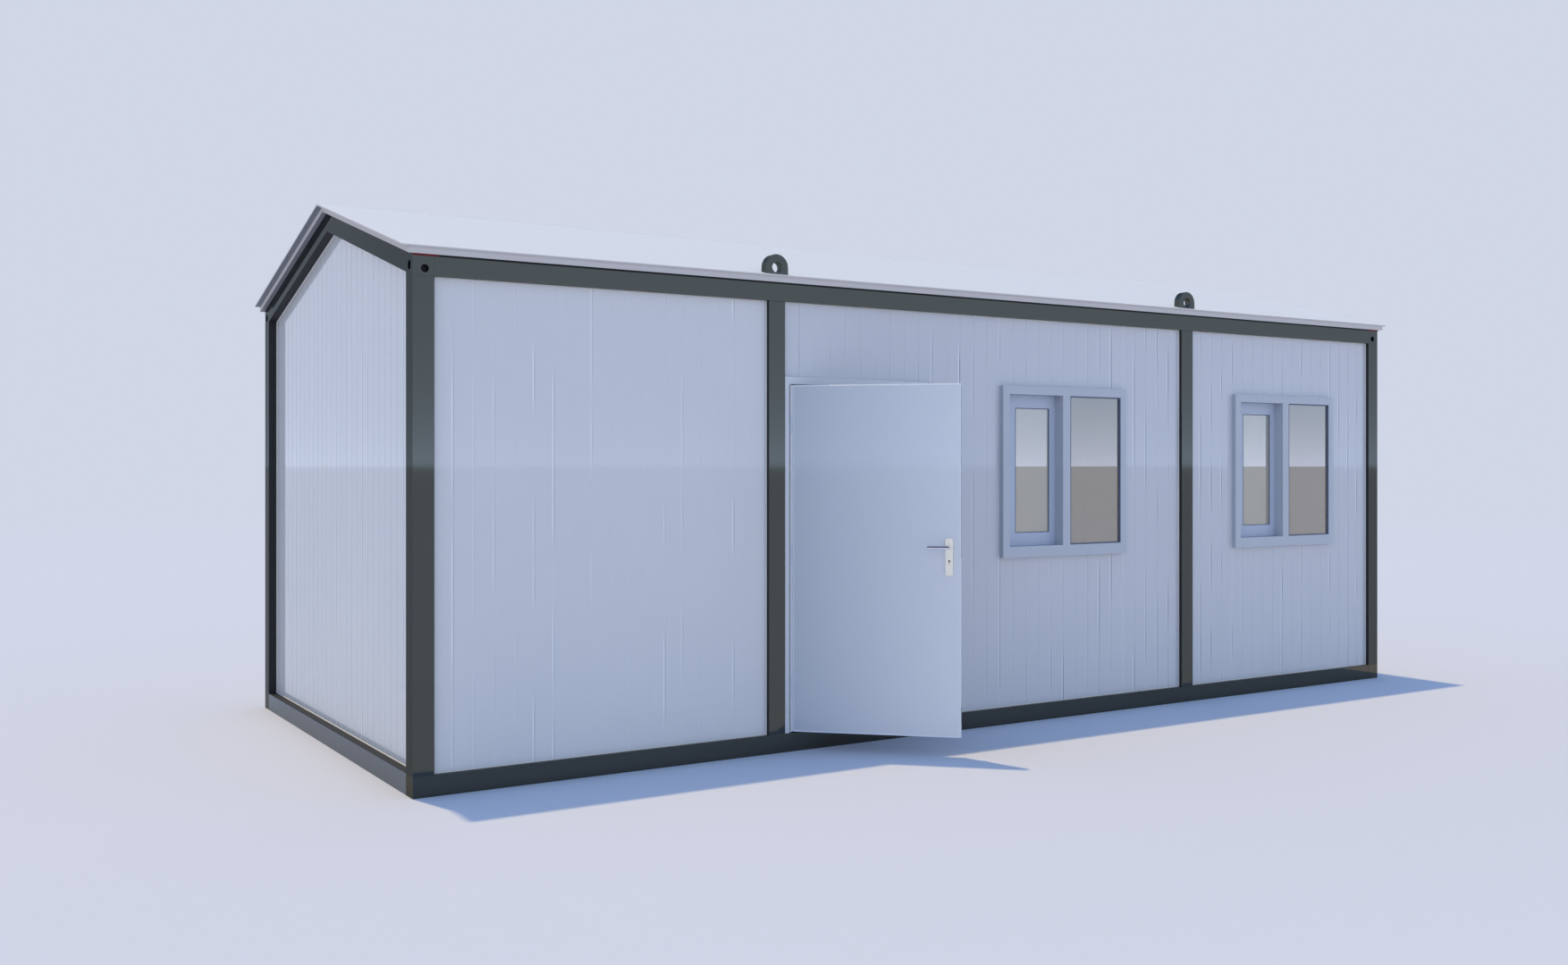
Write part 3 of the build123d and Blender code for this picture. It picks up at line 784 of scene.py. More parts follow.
def straight_bar(
    shape: Shape, start: Vector, end: Vector, across: Vector, out: Vector, section: Sequence[Point]
) -> None:
    """Adds a straight bar of a given section.

    Args:
        shape: the mesh that gets the bar.
        start: its first end.
        end: its last end.
        across: direction of the section's first coordinate.
        out: direction of the section's second coordinate.
        section: points of the section.
    """
    sweep_loops(shape, [[at + across * a + out * b for a, b in section] for at in (start, end)], closed=False)


def turned(shape: Shape, foot: Vector, axis: Vector, outline: Sequence[Point], sides: int = 20) -> None:
    """Adds a turned solid, such as a dome or a barrel.

    Args:
        shape: the mesh that gets the solid.
        foot: middle of its foot.
        axis: direction that it stands in.
        outline: points as (radius, height), from the foot up; the first and last rings are closed.
        sides: number of sides.
    """
    across = axis.orthogonal().normalized()
    beside = axis.cross(across)
    turns = [2 * math.pi * i / sides for i in range(sides)]
    loops = [
        [foot + axis * height + (across * math.cos(t) + beside * math.sin(t)) * radius for t in turns]
        for radius, height in outline
    ]
    sweep_loops(shape, loops, closed=False)


@dataclass
class Studio:
    """Camera at the photograph's viewing angle, pale floor and soft daylight.

    Attributes:
        image_width: width of the photograph in pixels.
        image_height: its height.
        focal_px: focal length in pixels.
        centre_px: pixel that the camera points at, from the left and from the top.
        sensor_mm: width of the camera's sensor.
        heading_deg: turn of the camera to the right of the front wall's normal.
        camera_place: the camera's place in the cabin's frame, in metres.
        pale: colour of the sky near the ground, and of the floor far away.
        floor_paint: colour of the floor near the cabin.
        zenith: colour of the sky overhead.
        zenith_span_deg: heights between which the sky goes from pale to that colour.
        haze: colour of the bright haze near the ground, in front of the cabin and to its left.
        haze_layers: brightness of each layer of haze, and the height in degrees in which it fades.
        left_haze_share: how much of the haze lies to the left.
        front_haze_end: how far a direction points along Y where the haze in front is full.
        left_haze_end: how far a direction points along X where the haze to the left is full.
        to_sun: direction to the sun.
        sun_colour: colour of its light.
        sun_strength: its strength.
        sun_spread_deg: its apparent width, which softens shadows.
        floor_half: half the width of the floor, in metres.
        fade_start: distance from the cabin at which the floor starts to fade, in metres.
        fade_end: distance at which it has the sky's colour, in metres.
    """

    image_width: int = 1754
    image_height: int = 1080
    focal_px: float = 1623.71
    centre_px: Point = (913.52, 520.78)
    sensor_mm: float = 36.0
    heading_deg: float = 32.914
    camera_place: tuple[float, float, float] = (-5.5532, -8.0691, 1.5269)
    pale: str = "#D0D6E6"
    floor_paint: str = "#CDD3E3"
    zenith: str = "#92B8E6"
    zenith_span_deg: Point = (20.0, 45.0)
    haze: str = "#C4D4F8"
    haze_layers: tuple[tuple[float, float], ...] = ((0.9, 1.7), (0.4, 14.0))
    left_haze_share: float = 0.35
    front_haze_end: float = -0.4
    left_haze_end: float = -0.18
    to_sun: tuple[float, float, float] = (-0.05, 0.205, 0.977)
    sun_colour: str = "#FFE0A4"
    sun_strength: float = 2.1
    sun_spread_deg: float = 1.2
    floor_half: float = 1500.0
    fade_start: float = 14.0
    fade_end: float = 40.0

    def build(self) -> None:
        """Sets up camera, floor, sky and sun."""
        self.camera()
        self.floor()
        self.sky()
        self.sun()
        bpy.context.scene.view_settings.view_transform = "Standard"

    def camera(self) -> None:
        """Puts the camera where the photograph was taken from."""
        lens = bpy.data.cameras.new("photo_camera")
        lens.sensor_width = self.sensor_mm
        lens.lens = lens.sensor_width * self.focal_px / self.image_width
        lens.shift_x = (self.image_width / 2 - self.centre_px[0]) / self.image_width
        lens.shift_y = (self.centre_px[1] - self.image_height / 2) / self.image_width
        lens.clip_end = 4 * self.floor_half
        stand = bpy.data.objects.new("photo_camera", lens)
        stand.location = self.camera_place
        stand.rotation_euler = (math.radians(90), 0, -math.radians(self.heading_deg))
        bpy.context.scene.collection.objects.link(stand)
        bpy.context.scene.camera = stand
        log.info("camera with a %.1f mm lens", lens.lens)

    def floor(self) -> None:
        """Lays a pale floor that fades into the sky's colour far away."""
        mesh = bpy.data.meshes.new("studio_floor")
        half = self.floor_half
        corners = [(x, y, 0) for x, y in rectangle(-half, -half, half, half)]
        mesh.from_pydata(corners, [], [(0, 1, 2, 3)])
        ground = bpy.data.objects.new("studio_floor", mesh)
        bpy.context.scene.collection.objects.link(ground)
        paint = bpy.data.materials.new("matt_pale_floor")
        paint.use_nodes = True
        tree = paint.node_tree
        tree.nodes.clear()
        place = add_node(tree, "ShaderNodeNewGeometry").outputs["Position"]
        away = add_node(tree, "ShaderNodeVectorMath", {0: place}, operation="LENGTH").outputs["Value"]
        span = {0: away, 1: self.fade_start, 2: self.fade_end}
        fade = add_node(tree, "ShaderNodeMapRange", span, interpolation_type="SMOOTHSTEP").outputs[0]
        near = add_node(tree, "ShaderNodeBsdfDiffuse", {"Color": linear(self.floor_paint)})
        far = add_node(tree, "ShaderNodeEmission", {"Color": linear(self.pale), "Strength": 1.0})
        both = add_node(tree, "ShaderNodeMixShader", {0: fade, 1: near.outputs[0], 2: far.outputs[0]})
        add_node(tree, "ShaderNodeOutputMaterial", {"Surface": both.outputs[0]})
        mesh.materials.append(paint)

    def sky(self) -> None:
        """Pale sky near the ground, blue overhead, with a band of haze in front of the cabin."""
        world = bpy.data.worlds.new("soft_daylight")
        bpy.context.scene.world = world
        world.use_nodes = True
        tree = world.node_tree
        tree.nodes.clear()
        towards = add_node(tree, "ShaderNodeTexCoord").outputs["Generated"]
        along = add_node(tree, "ShaderNodeSeparateXYZ", {0: towards}).outputs
        low, high = (math.sin(math.radians(degrees)) for degrees in self.zenith_span_deg)
        blue, front, left = (
            add_node(
                tree, "ShaderNodeMapRange", {0: along[axis], 1: start, 2: end, 4: share},
                interpolation_type="SMOOTHSTEP",
            ).outputs[0]
            for axis, start, end, share in (
                ("Z", low, high, 1.0), ("Y", 0.0, self.front_haze_end, 1.0),
                ("X", 0.0, self.left_haze_end, self.left_haze_share),
            )
        )
        tones = {0: blue, 6: linear(self.pale), 7: linear(self.zenith)}
        light = add_node(tree, "ShaderNodeMix", tones, data_type="RGBA").outputs[2]
        sides = add_node(tree, "ShaderNodeMath", {0: front, 1: left}, operation="MAXIMUM").outputs[0]
        for strength, degrees in self.haze_layers:
            rise = {0: along["Z"], 1: -1 / math.sin(math.radians(degrees))}
            height = add_node(tree, "ShaderNodeMath", rise, operation="MULTIPLY").outputs[0]
            band = add_node(tree, "ShaderNodeMath", {0: height}, operation="EXPONENT").outputs[0]
            for amount in (sides, strength):
                band = add_node(tree, "ShaderNodeMath", {0: band, 1: amount}, operation="MULTIPLY").outputs[0]
            tones = {0: band, 6: light, 7: linear(self.haze)}
            light = add_node(tree, "ShaderNodeMix", tones, data_type="RGBA", blend_type="ADD").outputs[2]
        glow = add_node(tree, "ShaderNodeBackground", {"Color": light, "Strength": 1.0})
        add_node(tree, "ShaderNodeOutputWorld", {"Surface": glow.outputs[0]})

    def sun(self) -> None:
        """A soft sun high over the rear of the cabin."""
        lamp = bpy.data.lights.new("soft_sun", "SUN")
        lamp.energy = self.sun_strength
        lamp.color = linear(self.sun_colour)[:3]
        lamp.angle = math.radians(self.sun_spread_deg)
        stand = bpy.data.objects.new("soft_sun", lamp)
        stand.rotation_mode = "QUATERNION"
        stand.rotation_quaternion = Vector(self.to_sun).to_track_quat("Z", "Y")
        bpy.context.scene.collection.objects.link(stand)


@dataclass
class SteelFrame:
    """Sills, posts, rails, rafters and lugs in dark enamel, with closed black cups behind the lashing holes as
    painted shade.

    Attributes:
        members: the frame's CAD nodes.
        edge_mm: rounding of the members' edges.
        joined: CAD nodes that meet others flush and get the finer rounding.
        joined_edge_mm: that finer rounding.
        socket_depth_mm: depth of a lashing socket.
        socket_wall_mm: its wall.
        block_wall_mm: wall of the corner blocks, which the sockets sit behind.
        strip_height_mm: height of the strips under the eaves.
        strip_depth_mm: depth of the strips.
        strip_lip_share: share of the height that the strips' outer side has.
        foam_length_mm: length of the foam strips, from each corner; black rubber strips, painted shade under the
            eaves, run between them.
    """

    members: tuple[str, ...] = (
        "long_sills", "end_sills", "corner_posts", "middle_posts", "corner_blocks", "eave_rails",
        "ridge_beam", "front_rafters", "rear_rafters", "lifting_lugs", "floor_joists",
    )
    edge_mm: float = 2.0
    joined: tuple[str, ...] = ("corner_posts", "corner_blocks", "eave_rails", "front_rafters", "rear_rafters")
    joined_edge_mm: float = 0.6
    socket_depth_mm: float = 24.0
    socket_wall_mm: float = 2.0
    block_wall_mm: float = 4.0
    strip_height_mm: float = 12.0
    strip_depth_mm: float = 7.0
    strip_lip_share: float = 0.7
    foam_length_mm: float = 120.0

    def build(self) -> None:
        """Dresses the members and adds the sockets and the closure strips."""
        # Long sills and corner-post feet get the painted reflection band; end sills get a lighter painted
        # reflection.
        low = {"long_sills": ENAMEL_WITH_PAINTED_REFLECTION, "corner_posts": ENAMEL_WITH_PAINTED_REFLECTION, "end_sills": END_SILL_PAINTED_REFLECTION}
        for member in self.members:
            shown = dress(member, low.get(member, FRAME_ENAMEL))
            soften(shown, self.joined_edge_mm if member in self.joined else self.edge_mm)
        # Black cups: painted shade inside the lashing holes.
        add_piece("lashing_sockets", self.sockets, RUBBER_SEAL_AND_SHADE, "cabin")
        left, right = (corner.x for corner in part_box("corner_blocks"))
        foam = self.foam_length_mm * MM
        # Red foam at the corners; the black strips between them are painted shade under the eaves.
        for name, finish, spans in (
            ("eave_corner_foam", CLOSURE_FOAM, ((left, left + foam), (right - foam, right))),
            ("eave_painted_shade_strip", RUBBER_SEAL_AND_SHADE, ((left + foam, right - foam),)),
        ):
            add_piece(name, lambda shape: self.strips(shape, spans), finish, "cabin")

    def sockets(self, shape: Shape) -> None:
        """Adds a closed black cup behind each lashing hole of the corner blocks, painted shade inside the hollow
        blocks.

        Args:
            shape: the mesh that gets the cups.
        """
        for mount in frame["record"]["mounts"]:
            if not mount["name"].endswith("lashing_hole"):
                continue
            out = Vector(mount["axis"])
            mouth = Vector(mount["pos_m"]) - out * self.block_wall_mm * MM
            radius = mount["dims"]["r_mm"] * MM
            wall, depth = self.socket_wall_mm * MM, self.socket_depth_mm * MM
            outline = ((radius + wall, -depth), (radius + wall, 0), (radius, 0), (radius, wall - depth))
            turned(shape, mouth, out, outline, sides=32)

    def strips(self, shape: Shape, spans: Sequence[Point]) -> None:
        """Presses strips under the roof's edge, against the front and the rear eave rail.

        Args:
            shape: the mesh that gets the strips.
            spans: left and right end of each strip.
        """
        low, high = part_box("corner_blocks")
        height, depth = self.strip_height_mm * MM, self.strip_depth_mm * MM
        for y, outward in ((low.y, -1), (high.y, 1)):
            top = self.roof_underside(abs(y))
            section = (
                (0, top - height), (0, top), (depth, self.roof_underside(abs(y) + depth)),
                (depth, top - self.strip_lip_share * height), (depth / 2, top - height),
            )
            for span in spans:
                ends = (Vector((x, y, 0)) for x in span)
                straight_bar(shape, *ends, Vector((0, outward, 0)), UP, section)

    def roof_underside(self, reach: float) -> float:
        """Follows the underside of the roof panels.

        Args:
            reach: distance from the middle of the cabin's depth, in metres.

        Returns:
            The underside's height there, in metres.
        """
        corners = [v.co for v in frame["nodes"]["front_roof_panel"].data.vertices]
        outer = min(corners, key=lambda c: (round(c.y, 5), c.z))
        inner = min(corners, key=lambda c: (-round(c.y, 5), c.z))
        share = (reach - abs(inner.y)) / (abs(outer.y) - abs(inner.y))
        return inner.z + (outer.z - inner.z) * share


@dataclass
class Walls:
    """Ribbed sandwich panels on all four sides, bedded in mastic along the frame.

    Attributes:
        long_panels: CAD nodes of the long walls, each with its finish.
        long_walls: for each long wall its name, a CAD node from floor to eave, and where it looks along Y.
        gables: CAD nodes of the end walls, and where they look along X.
        post_mm: width of the posts between the bays.
        bead_mm: size of the mastic beads.
        bead_shares: points of a bead's section, as shares of its size.
        seal_mm: thickness of the black strips on the posts beside the panels, painted shade on the posts' side
            faces.
        shade_strip_setback_mm: how far the strips stay behind the posts' outer faces.
    """

    long_panels: tuple[tuple[str, Finish], ...] = (
        ("front_wall_left", LEFT_SKIN), ("front_wall_over_door", HEAD_SKIN), ("front_wall_piers", FRONT_SKIN),
        ("front_wall_under_windows", FRONT_SKIN), ("front_wall_over_windows", FRONT_SKIN),
        ("rear_wall", LEFT_SKIN),
    )
    long_walls: tuple[tuple[str, str, int], ...] = (
        ("front", "front_wall_left", -1), ("rear", "rear_wall", 1),
    )
    gables: tuple[tuple[str, int], ...] = (("gable_wall_left", -1), ("gable_wall_right", 1))
    post_mm: float = 100.0
    bead_mm: float = 5.0
    bead_shares: tuple[Point, ...] = ((0.0, 0.0), (1.0, 0.0), (0.85, 0.45), (0.45, 0.85), (0.0, 1.0))
    seal_mm: float = 2.0
    shade_strip_setback_mm: float = 2.0

    def build(self) -> None:
        """Dresses the panels and lays the beads."""
        for panel, skin in self.long_panels:
            dress(panel, skin)
        for panel, _ in self.gables:
            dress(panel, GABLE_SKIN)
        for name, panel, side in self.long_walls:
            add_piece(
                f"{name}_edge_mastic", lambda shape: self.wall_beads(shape, panel, side), EDGE_MASTIC,
                "cabin",
            )
        add_piece("gable_edge_mastic", self.gable_beads, EDGE_MASTIC, "cabin")
        # Black strips beside the panels: painted shade on the side faces of the posts and the end frames.
        add_piece("post_side_painted_shade", self.side_painted_shade, RUBBER_SEAL_AND_SHADE, "cabin")
        add_piece("gable_side_painted_shade", self.gable_painted_shade, RUBBER_SEAL_AND_SHADE, "cabin")

    def section(self) -> list[Point]:
        """Section of a bead, rounded between the panel and the frame."""
        return scaled(self.bead_shares, self.bead_mm, self.bead_mm)

    def shade_strip_section(self, reach: float) -> list[Point]:
        """Section of a flat black strip, painted shade, that ends a little short of a reach in metres, to the
        posts' outer faces.
        """
        return rectangle(0, 0, self.seal_mm * MM, reach - self.shade_strip_setback_mm * MM)

    def bays(self) -> list[Point]:
        """Finds the three bays between the posts.

        Returns:
            Left and right end of each bay, in metres.
        """
        low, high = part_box("rear_wall")
        posts_low, posts_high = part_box("middle_posts")
        post = self.post_mm * MM
        return [(low.x, posts_low.x), (posts_low.x + post, posts_high.x - post), (posts_high.x, high.x)]

    def wall_beads(self, shape: Shape, panel: str, side: int) -> None:
        """Lays a bead round each bay of a long wall, and in the front round the door's frame.

        Args:
            shape: the mesh that gets the beads.
            panel: a CAD node of the wall, from floor to eave.
            side: where the wall looks along Y.
        """
        low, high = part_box(panel)
        face = low.y if side < 0 else high.y
        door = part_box("door_frame")[1]
        for i, (left, right) in enumerate(self.bays()):
            corners = upright_rectangle(Vector((left, 0, low.z)), Vector((right, 0, high.z)), face)
            if side < 0 and i == 1:
                round_door = ((left, door.z), (door.x, door.z), (door.x, low.z))
                corners[:1] = [Vector((x, face, z)) for x, z in round_door]
            polygon_ring(shape, corners, Vector((0, side, 0)), self.section())

    def gable_outline(self, panel: str, side: int) -> list[Vector]:
        """Corners of a peaked end panel's outer face.

        Args:
            panel: its CAD node.
            side: where it looks along X.

        Returns:
            The five corners in order.
        """
        low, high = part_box(panel)
        x = low.x if side < 0 else high.x
        shoulder = max(v.co.z for v in frame["nodes"][panel].data.vertices if abs(v.co.y - low.y) < MM)
        outline = ((low.y, low.z), (high.y, low.z), (high.y, shoulder), (0.0, high.z), (low.y, shoulder))
        return [Vector((x, y, z)) for y, z in outline]

    def gable_beads(self, shape: Shape) -> None:
        """Lays a bead round each peaked end panel."""
        for panel, side in self.gables:
            polygon_ring(shape, self.gable_outline(panel, side), Vector((side, 0, 0)), self.section())

    def gable_painted_shade(self, shape: Shape) -> None:
        """Lines the frame round each peaked end panel with a flat black strip, painted shade.

        Args:
            shape: the mesh that gets the seals.
        """
        for panel, side in self.gables:
            corners = self.gable_outline(panel, side)
            section = self.shade_strip_section(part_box("corner_posts")[1].x - abs(corners[0].x))
            polygon_ring(shape, corners, Vector((side, 0, 0)), section)

    def side_painted_shade(self, shape: Shape) -> None:
        """Lines the posts beside each bay with a flat black strip, painted shade; the hinge side of the doorway
        has none.

        Args:
            shape: the mesh that gets the seals.
        """
        thickness = self.seal_mm * MM
        for _, panel, side in self.long_walls:
            low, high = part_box(panel)
            face = low.y if side < 0 else high.y
            section = self.shade_strip_section(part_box("corner_posts")[1].y - abs(face))
            for i, (left, right) in enumerate(self.bays()):
                for x in (right - thickness,) if side < 0 and i == 1 else (left, right - thickness):
                    foot, head = Vector((x, face, low.z)), Vector((x, face, high.z))
                    straight_bar(shape, foot, head, RIGHT, Vector((0, side, 0)), section)


@dataclass
class Roof:
    """Insulated roof panels with a thin sheet over them on both slopes.

    Attributes:
        edge_mm: rounding of the sheet's folded edges.
    """

    edge_mm: float = 1.5

    def build(self) -> None:
        """Dresses the panels and the sheets."""
        for side in ("front", "rear"):
            soften(dress(f"{side}_roof_panel", ROOF_EDGE_COAT), self.edge_mm)
            soften(dress(f"{side}_roof_sheet", ROOF_SHEET_COAT), self.edge_mm)


@dataclass
class DoorSet:
    """Door leaf, its frame, hinges and lock furniture, with seal, key barrels, screws and hinge line.

    Attributes:
        leaf_width_mm: width of the leaf.
        leaf_start_mm: the leaf's edge, measured along it from the hinge pins.
        leaf_setback_mm: the leaf's outer face, measured inwards from the hinge pins.
        leaf_thickness_mm: its thickness.
        fold_mm: width of the folded edge round the outer face, lighter as a painted highlight.
        fold_height_mm: height of that edge.
        fold_inset_mm: how far that edge stays inside the leaf's rounded corners.
        fold_shares: points of its section, as shares of its width and height.
        guard_radius_mm: radius of the rolled guard along the hinge line.
        guard_sides: number of flat sides in that round.
        guard_plate_mm: thickness and depth of the plate that carries the guard.
        hinge_feet_mm: heights at which the hinges start.
        hinge_length_mm: length of a hinge.
        hinge_gap_mm: gap between a hinge and the guard.
        cap_mm: height of the hinges' domed caps.
        cap_round_deg: how far a cap's round goes, from its side up.
        cap_top_share: width of the flat on a cap, as a share of the cap's.
        frame_edge_mm: rounding of the frame's edges.
        plate_mm: thickness of the lock plates.
        plate_edge_mm: rounding of the plates' edges.
        plate_screw_mm: heights of the plates' screws.
        screw_mm: outline of a screw's head, as (radius, height over the plate).
        keyhole_mm: height of the keyhole.
        barrel_mm: radius of the key barrel.
        barrel_front: outline of the barrel's front, as (share of the radius, height over the plate in mm).
        tail_shares: half the width and the length of the barrel's tail, as shares of the radius.
        lever_mm: radius of the levers' bar.
        lever_standoff_mm: distance of its middle from the leaf.
        strip_thickness_mm: thickness of the dark strips, painted reflection on the levers.
        lever_bend_mm: radius of the bar's bend towards the spindle.
        strip_reach_mm: start of the strips near the tip, measured from the spindle.
        strip_bend_deg: how far the strips follow the bend.
        strip_span_deg: the part of the bar's round that they cover, from its outer side up.
        opening_mm: width of the frame's opening.
        stop_mm: width of the frame's stop.
        stop_setback_mm: place of the stop, inwards from the frame's face.
        head_gap_mm: gap between the leaf and the frame's head.
        seal_mm: width and height of the seal on the stop.
    """

    leaf_width_mm: float = 900.0
    leaf_start_mm: float = 3.5
    leaf_setback_mm: float = 7.0
    leaf_thickness_mm: float = 40.0
    fold_mm: float = 5.0
    fold_height_mm: float = 0.8
    fold_inset_mm: float = 1.5
    fold_shares: tuple[Point, ...] = ((0.0, 0.0), (1.0, 0.0), (0.7, 1.0), (0.15, 1.0))
    guard_radius_mm: float = 6.2
    guard_sides: int = 16
    guard_plate_mm: Point = (2.0, 34.0)
    hinge_feet_mm: tuple[float, ...] = (300.0, 1000.0, 1700.0)
    hinge_length_mm: float = 101.0
    hinge_gap_mm: float = 1.0
    cap_mm: float = 4.0
    cap_round_deg: float = 72.0
    cap_top_share: float = 0.1
    frame_edge_mm: float = 1.5
    plate_mm: float = 8.0
    plate_edge_mm: float = 1.2
    plate_screw_mm: Point = (966.0, 1132.0)
    screw_mm: tuple[Point, ...] = ((3.2, -0.4), (3.2, 0.1), (2.4, 0.6), (1.1, 0.8), (0.7, 0.3))
    keyhole_mm: float = 1028.0
    barrel_mm: float = 4.2
    barrel_front: tuple[Point, ...] = ((1.0, 0.6), (0.8, 1.0), (0.7, 0.4), (0.2, 0.4))
    tail_shares: Point = (0.3, 2.2)
    lever_mm: float = 8.0
    lever_standoff_mm: float = 48.0
    strip_thickness_mm: float = 0.5
    lever_bend_mm: float = 16.0
    strip_reach_mm: float = 109.0
    strip_bend_deg: float = 60.0
    strip_span_deg: Point = (10.0, 85.0)
    opening_mm: float = 914.0
    stop_mm: float = 15.0
    stop_setback_mm: float = 45.0
    head_gap_mm: float = 6.0
    seal_mm: Point = (9.0, 3.5)

    def __post_init__(self) -> None:
        """Takes the door's own directions from its joints: pins, along the leaf and out of it."""
        joints = {joint["name"]: joint for joint in frame["joints"]}
        self.pin = Vector(joints["door_swing"]["pos_m"])
        self.spindle = Vector(joints["lever_turn"]["pos_m"])
        self.out = Vector(joints["lever_turn"]["axis"]).normalized()
        self.along = Vector((-self.out.y, self.out.x, 0))
        self.leaf_low, self.leaf_high = (corner.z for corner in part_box("door_leaf"))

    def build(self) -> None:
        """Dresses the door's nodes and builds what they carry."""
        soften(dress("door_frame", DOOR_PAINT), self.frame_edge_mm)
        dress("door_leaf", LEAF_PAINT)
        dress("jamb_hinges", HINGE_PAINT)
        dress("leaf_hinges", HINGE_PAINT)
        soften(dress("lock_plates", PLATE_METAL), self.plate_edge_mm)
        dress("lever_handles", LEVER_METAL)
        add_piece("leaf_folded_edge", self.folded_edge, EDGE_PAINT, "door")
        add_piece("hinge_line_guard", self.hinge_guard, DOOR_PAINT, "door")
        add_piece("hinge_caps", self.hinge_caps, HINGE_PAINT, "door")
        add_piece("key_barrels", self.key_barrels, BARREL_BRASS, "door")
        add_piece("lock_plate_screws", self.plate_screws, PLATE_METAL, "door")
        add_piece("door_stop_seal", self.stop_seal, RUBBER_SEAL_AND_SHADE, "cabin")
        # Dark strips on the levers: painted reflection on the bar's upper half.
        add_piece("lever_painted_reflection_strips", self.painted_reflection_strips, DARK_REFLECTION_STRIP, "lever")

    def at(self, along_mm: float, out_mm: float, height: float) -> Vector:
        """A point in the leaf's own plan, measured from the hinge pins.

        Args:
            along_mm: distance along the leaf.
            out_mm: distance out of it.
            height: height over the ground, in metres.

        Returns:
            The point in the cabin's frame.
        """
        place = self.pin + self.along * along_mm * MM + self.out * out_mm * MM
        return Vector((place.x, place.y, height))

    def folded_edge(self, shape: Shape) -> None:
        """Lays the fold, lighter as a painted highlight, along the four edges of the leaf's outer face.

        Args:
            shape: the mesh that gets the fold.
        """
        inset = self.fold_inset_mm
        start, end = self.leaf_start_mm + inset, self.leaf_start_mm + self.leaf_width_mm - inset
        low, high = self.leaf_low + inset * MM, self.leaf_high - inset * MM
        face = -self.leaf_setback_mm
        corners = [self.at(along, face, z) for along, z in rectangle(start, low, end, high)]
        polygon_ring(shape, corners, self.out, scaled(self.fold_shares, self.fold_mm, self.fold_height_mm))

    def hinge_guard(self, shape: Shape) -> None:
        """Closes the hinge line between the hinges with a rolled guard on a narrow plate.

        Args:
            shape: the mesh that gets the guard.
        """
        radius = self.guard_radius_mm
        thickness, depth = self.guard_plate_mm
        edges = [self.leaf_low]
        for foot in self.hinge_feet_mm:
            edges += [(foot - self.hinge_gap_mm) * MM, (foot + self.hinge_length_mm + self.hinge_gap_mm) * MM]
        edges.append(self.leaf_high)
        tube = arc(radius, radius, 0, 360 - 360 / self.guard_sides, steps=self.guard_sides - 1)
        plate = rectangle(self.leaf_start_mm - thickness, -depth, self.leaf_start_mm, 0)
        for low, high in zip(edges[::2], edges[1::2]):
            for outline in (tube, plate):
                ends = (self.at(0, 0, height) for height in (low, high))
                straight_bar(shape, *ends, self.along, self.out, scaled(outline))

    def hinge_caps(self, shape: Shape) -> None:
        """Sets a domed cap on top of each hinge.

        Args:
            shape: the mesh that gets the caps.
        """
        radius, height = self.guard_radius_mm * MM, self.cap_mm * MM
        dome = arc(radius, height, 0, self.cap_round_deg, steps=4) + [(self.cap_top_share * radius, height)]
        for foot in self.hinge_feet_mm:
            turned(shape, self.at(0, 0, (foot + self.hinge_length_mm) * MM), UP, dome)

    def faces(self) -> list[tuple[Vector, float]]:
        """Finds the outer faces of the lock plates.

        Returns:
            For each plate, the direction that it looks in and its face's place out of the leaf, in mm.
        """
        front = self.plate_mm - self.leaf_setback_mm
        back = -self.leaf_setback_mm - self.leaf_thickness_mm - self.plate_mm
        return [(self.out, front), (-self.out, back)]

    def backset(self) -> float:
        """Distance of the spindle along the leaf, in mm."""
        return (self.spindle - self.pin).dot(self.along) / MM

    def key_barrels(self, shape: Shape) -> None:
        """Sets a key barrel with its tail into the keyhole of each plate.

        Args:
            shape: the mesh that gets the barrels.
        """
        radius, length = self.barrel_mm * MM, self.plate_mm * MM
        outline = [(radius, -length)] + scaled(self.barrel_front, self.barrel_mm)
        half, drop = (share * radius for share in self.tail_shares)
        tail = rectangle(-half, 0, half, -drop)
        for out, face in self.faces():
            middle = self.at(self.backset(), face, self.keyhole_mm * MM)
            turned(shape, middle, out, outline)
            straight_bar(shape, middle - out * length, middle, self.along, UP, tail)

    def plate_screws(self, shape: Shape) -> None:
        """Sets two domed screws into each lock plate.

        Args:
            shape: the mesh that gets the screws.
        """
        for out, face in self.faces():
            for height in self.plate_screw_mm:
                foot = self.at(self.backset(), face, height * MM)
                turned(shape, foot, out, scaled(self.screw_mm), sides=16)

    def painted_reflection_strips(self, shape: Shape) -> None:
        """Lays a dark strip, painted reflection, along the upper outer side of each lever, round into its bend.

        Args:
            shape: the mesh that gets the strips.
        """
        under, over = (
            arc(radius, radius, *self.strip_span_deg, steps=6)
            for radius in (self.lever_mm, self.lever_mm + self.strip_thickness_mm)
        )
        section = scaled(over + under[::-1])
        bend = self.lever_bend_mm
        depth = self.leaf_setback_mm + self.leaf_thickness_mm + self.lever_standoff_mm
        for out, level in ((self.out, self.lever_standoff_mm - self.leaf_setback_mm), (-self.out, -depth)):
            stations = [(self.at(self.backset() - self.strip_reach_mm, level, self.spindle.z), out)]
            middle = self.at(self.backset() - bend, level, self.spindle.z) - out * bend * MM
            for i in range(6):
                turn = math.radians(self.strip_bend_deg) * i / 5
                facing = out * math.cos(turn) + self.along * math.sin(turn)
                stations.append((middle + facing * bend * MM, facing))
            loops = [[spot + facing * a + UP * b for a, b in section] for spot, facing in stations]
            sweep_loops(shape, loops, closed=False)

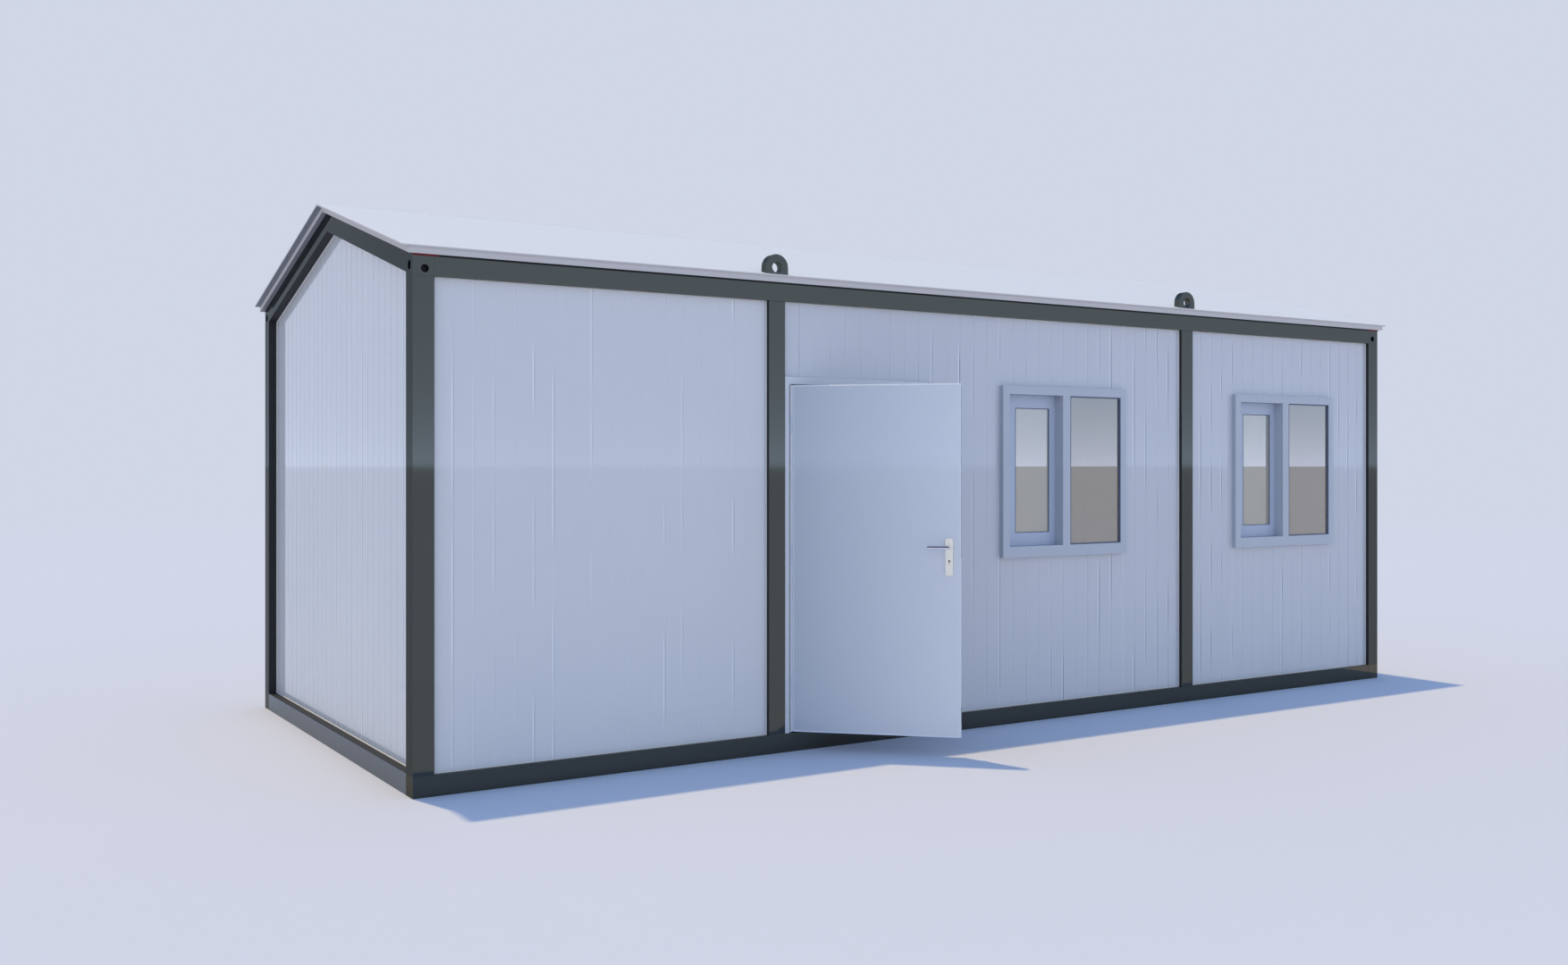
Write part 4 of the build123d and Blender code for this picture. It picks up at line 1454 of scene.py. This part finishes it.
    def stop_seal(self, shape: Shape) -> None:
        """Lays a rubber seal along the stop behind the leaf: two sides and the head.

        Args:
            shape: the mesh that gets the seal.
        """
        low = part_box("door_frame")[0]
        width, height = (v * MM for v in self.seal_mm)
        bead = [(width / 2 + a, b) for a, b in arc(-width / 2, height, 0, 180, steps=6)]
        face = low.y + self.stop_setback_mm * MM
        hinge_side = self.pin.x - self.leaf_start_mm * MM
        free_side = hinge_side + self.opening_mm * MM
        head = self.leaf_high + self.head_gap_mm * MM
        inset = (self.stop_mm * MM - width) / 2
        for x in (hinge_side + inset, free_side - inset - width):
            straight_bar(shape, Vector((x, face, low.z)), Vector((x, face, head)), RIGHT, FRONT, bead)
        start = Vector((hinge_side, face, head - inset - width))
        straight_bar(shape, start, start + RIGHT * (free_side - hinge_side), UP, FRONT, bead)


@dataclass
class WindowSet:
    """One window: casing with mullion, sliding sash and two panes, with their rubber gaskets.

    Attributes:
        name: start of the window's node names.
        sash_gasket_mm: width and height of the gasket on the sash's pane.
        fixed_gasket_mm: width and height of the gasket on the fixed pane, which lies deeper.
        lip_shares: points of a gasket's section, as shares of its width and height.
        edge_mm: rounding of the casing's and the sash's edges.
    """

    name: str
    sash_gasket_mm: Point = (5.0, 3.4)
    fixed_gasket_mm: Point = (7.0, 11.5)
    lip_shares: tuple[Point, ...] = ((0.0, 0.0), (1.0, 0.0), (1.0, 0.8), (0.85, 1.0), (0.0, 1.0))
    edge_mm: float = 2.0

    def build(self) -> None:
        """Dresses the window's nodes and lays the gaskets."""
        soften(dress(f"{self.name}_casing", CASING_VINYL), self.edge_mm)
        soften(dress(f"{self.name}_sash", SASH_VINYL), self.edge_mm)
        for pane, glass, (width, height) in (
            ("sash_pane", SASH_GLASS, self.sash_gasket_mm), ("fixed_pane", FIXED_GLASS, self.fixed_gasket_mm),
        ):
            dress(f"{self.name}_{pane}", glass)
            low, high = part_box(f"{self.name}_{pane}")
            corners = upright_rectangle(low, high, low.y)
            lip = scaled(self.lip_shares, width, height)
            add_piece(
                f"{self.name}_{pane}_gasket", lambda shape: polygon_ring(shape, corners, FRONT, lip),
                GASKET_RUBBER, "cabin",
            )


@dataclass
class Floor:
    """The floor deck."""

    def build(self) -> None:
        """Dresses the deck."""
        dress("floor_deck", FLOOR_BOARD)


def main() -> None:
    """Builds the studio and the cabin's sub-assemblies in order."""
    logging.basicConfig(level=logging.INFO, format="%(name)s: %(message)s")
    Studio().build()
    SteelFrame().build()
    Floor().build()
    Walls().build()
    Roof().build()
    DoorSet().build()
    for window in ("middle_window", "right_window"):
        WindowSet(window).build()


if __name__ == "__main__":
    main()
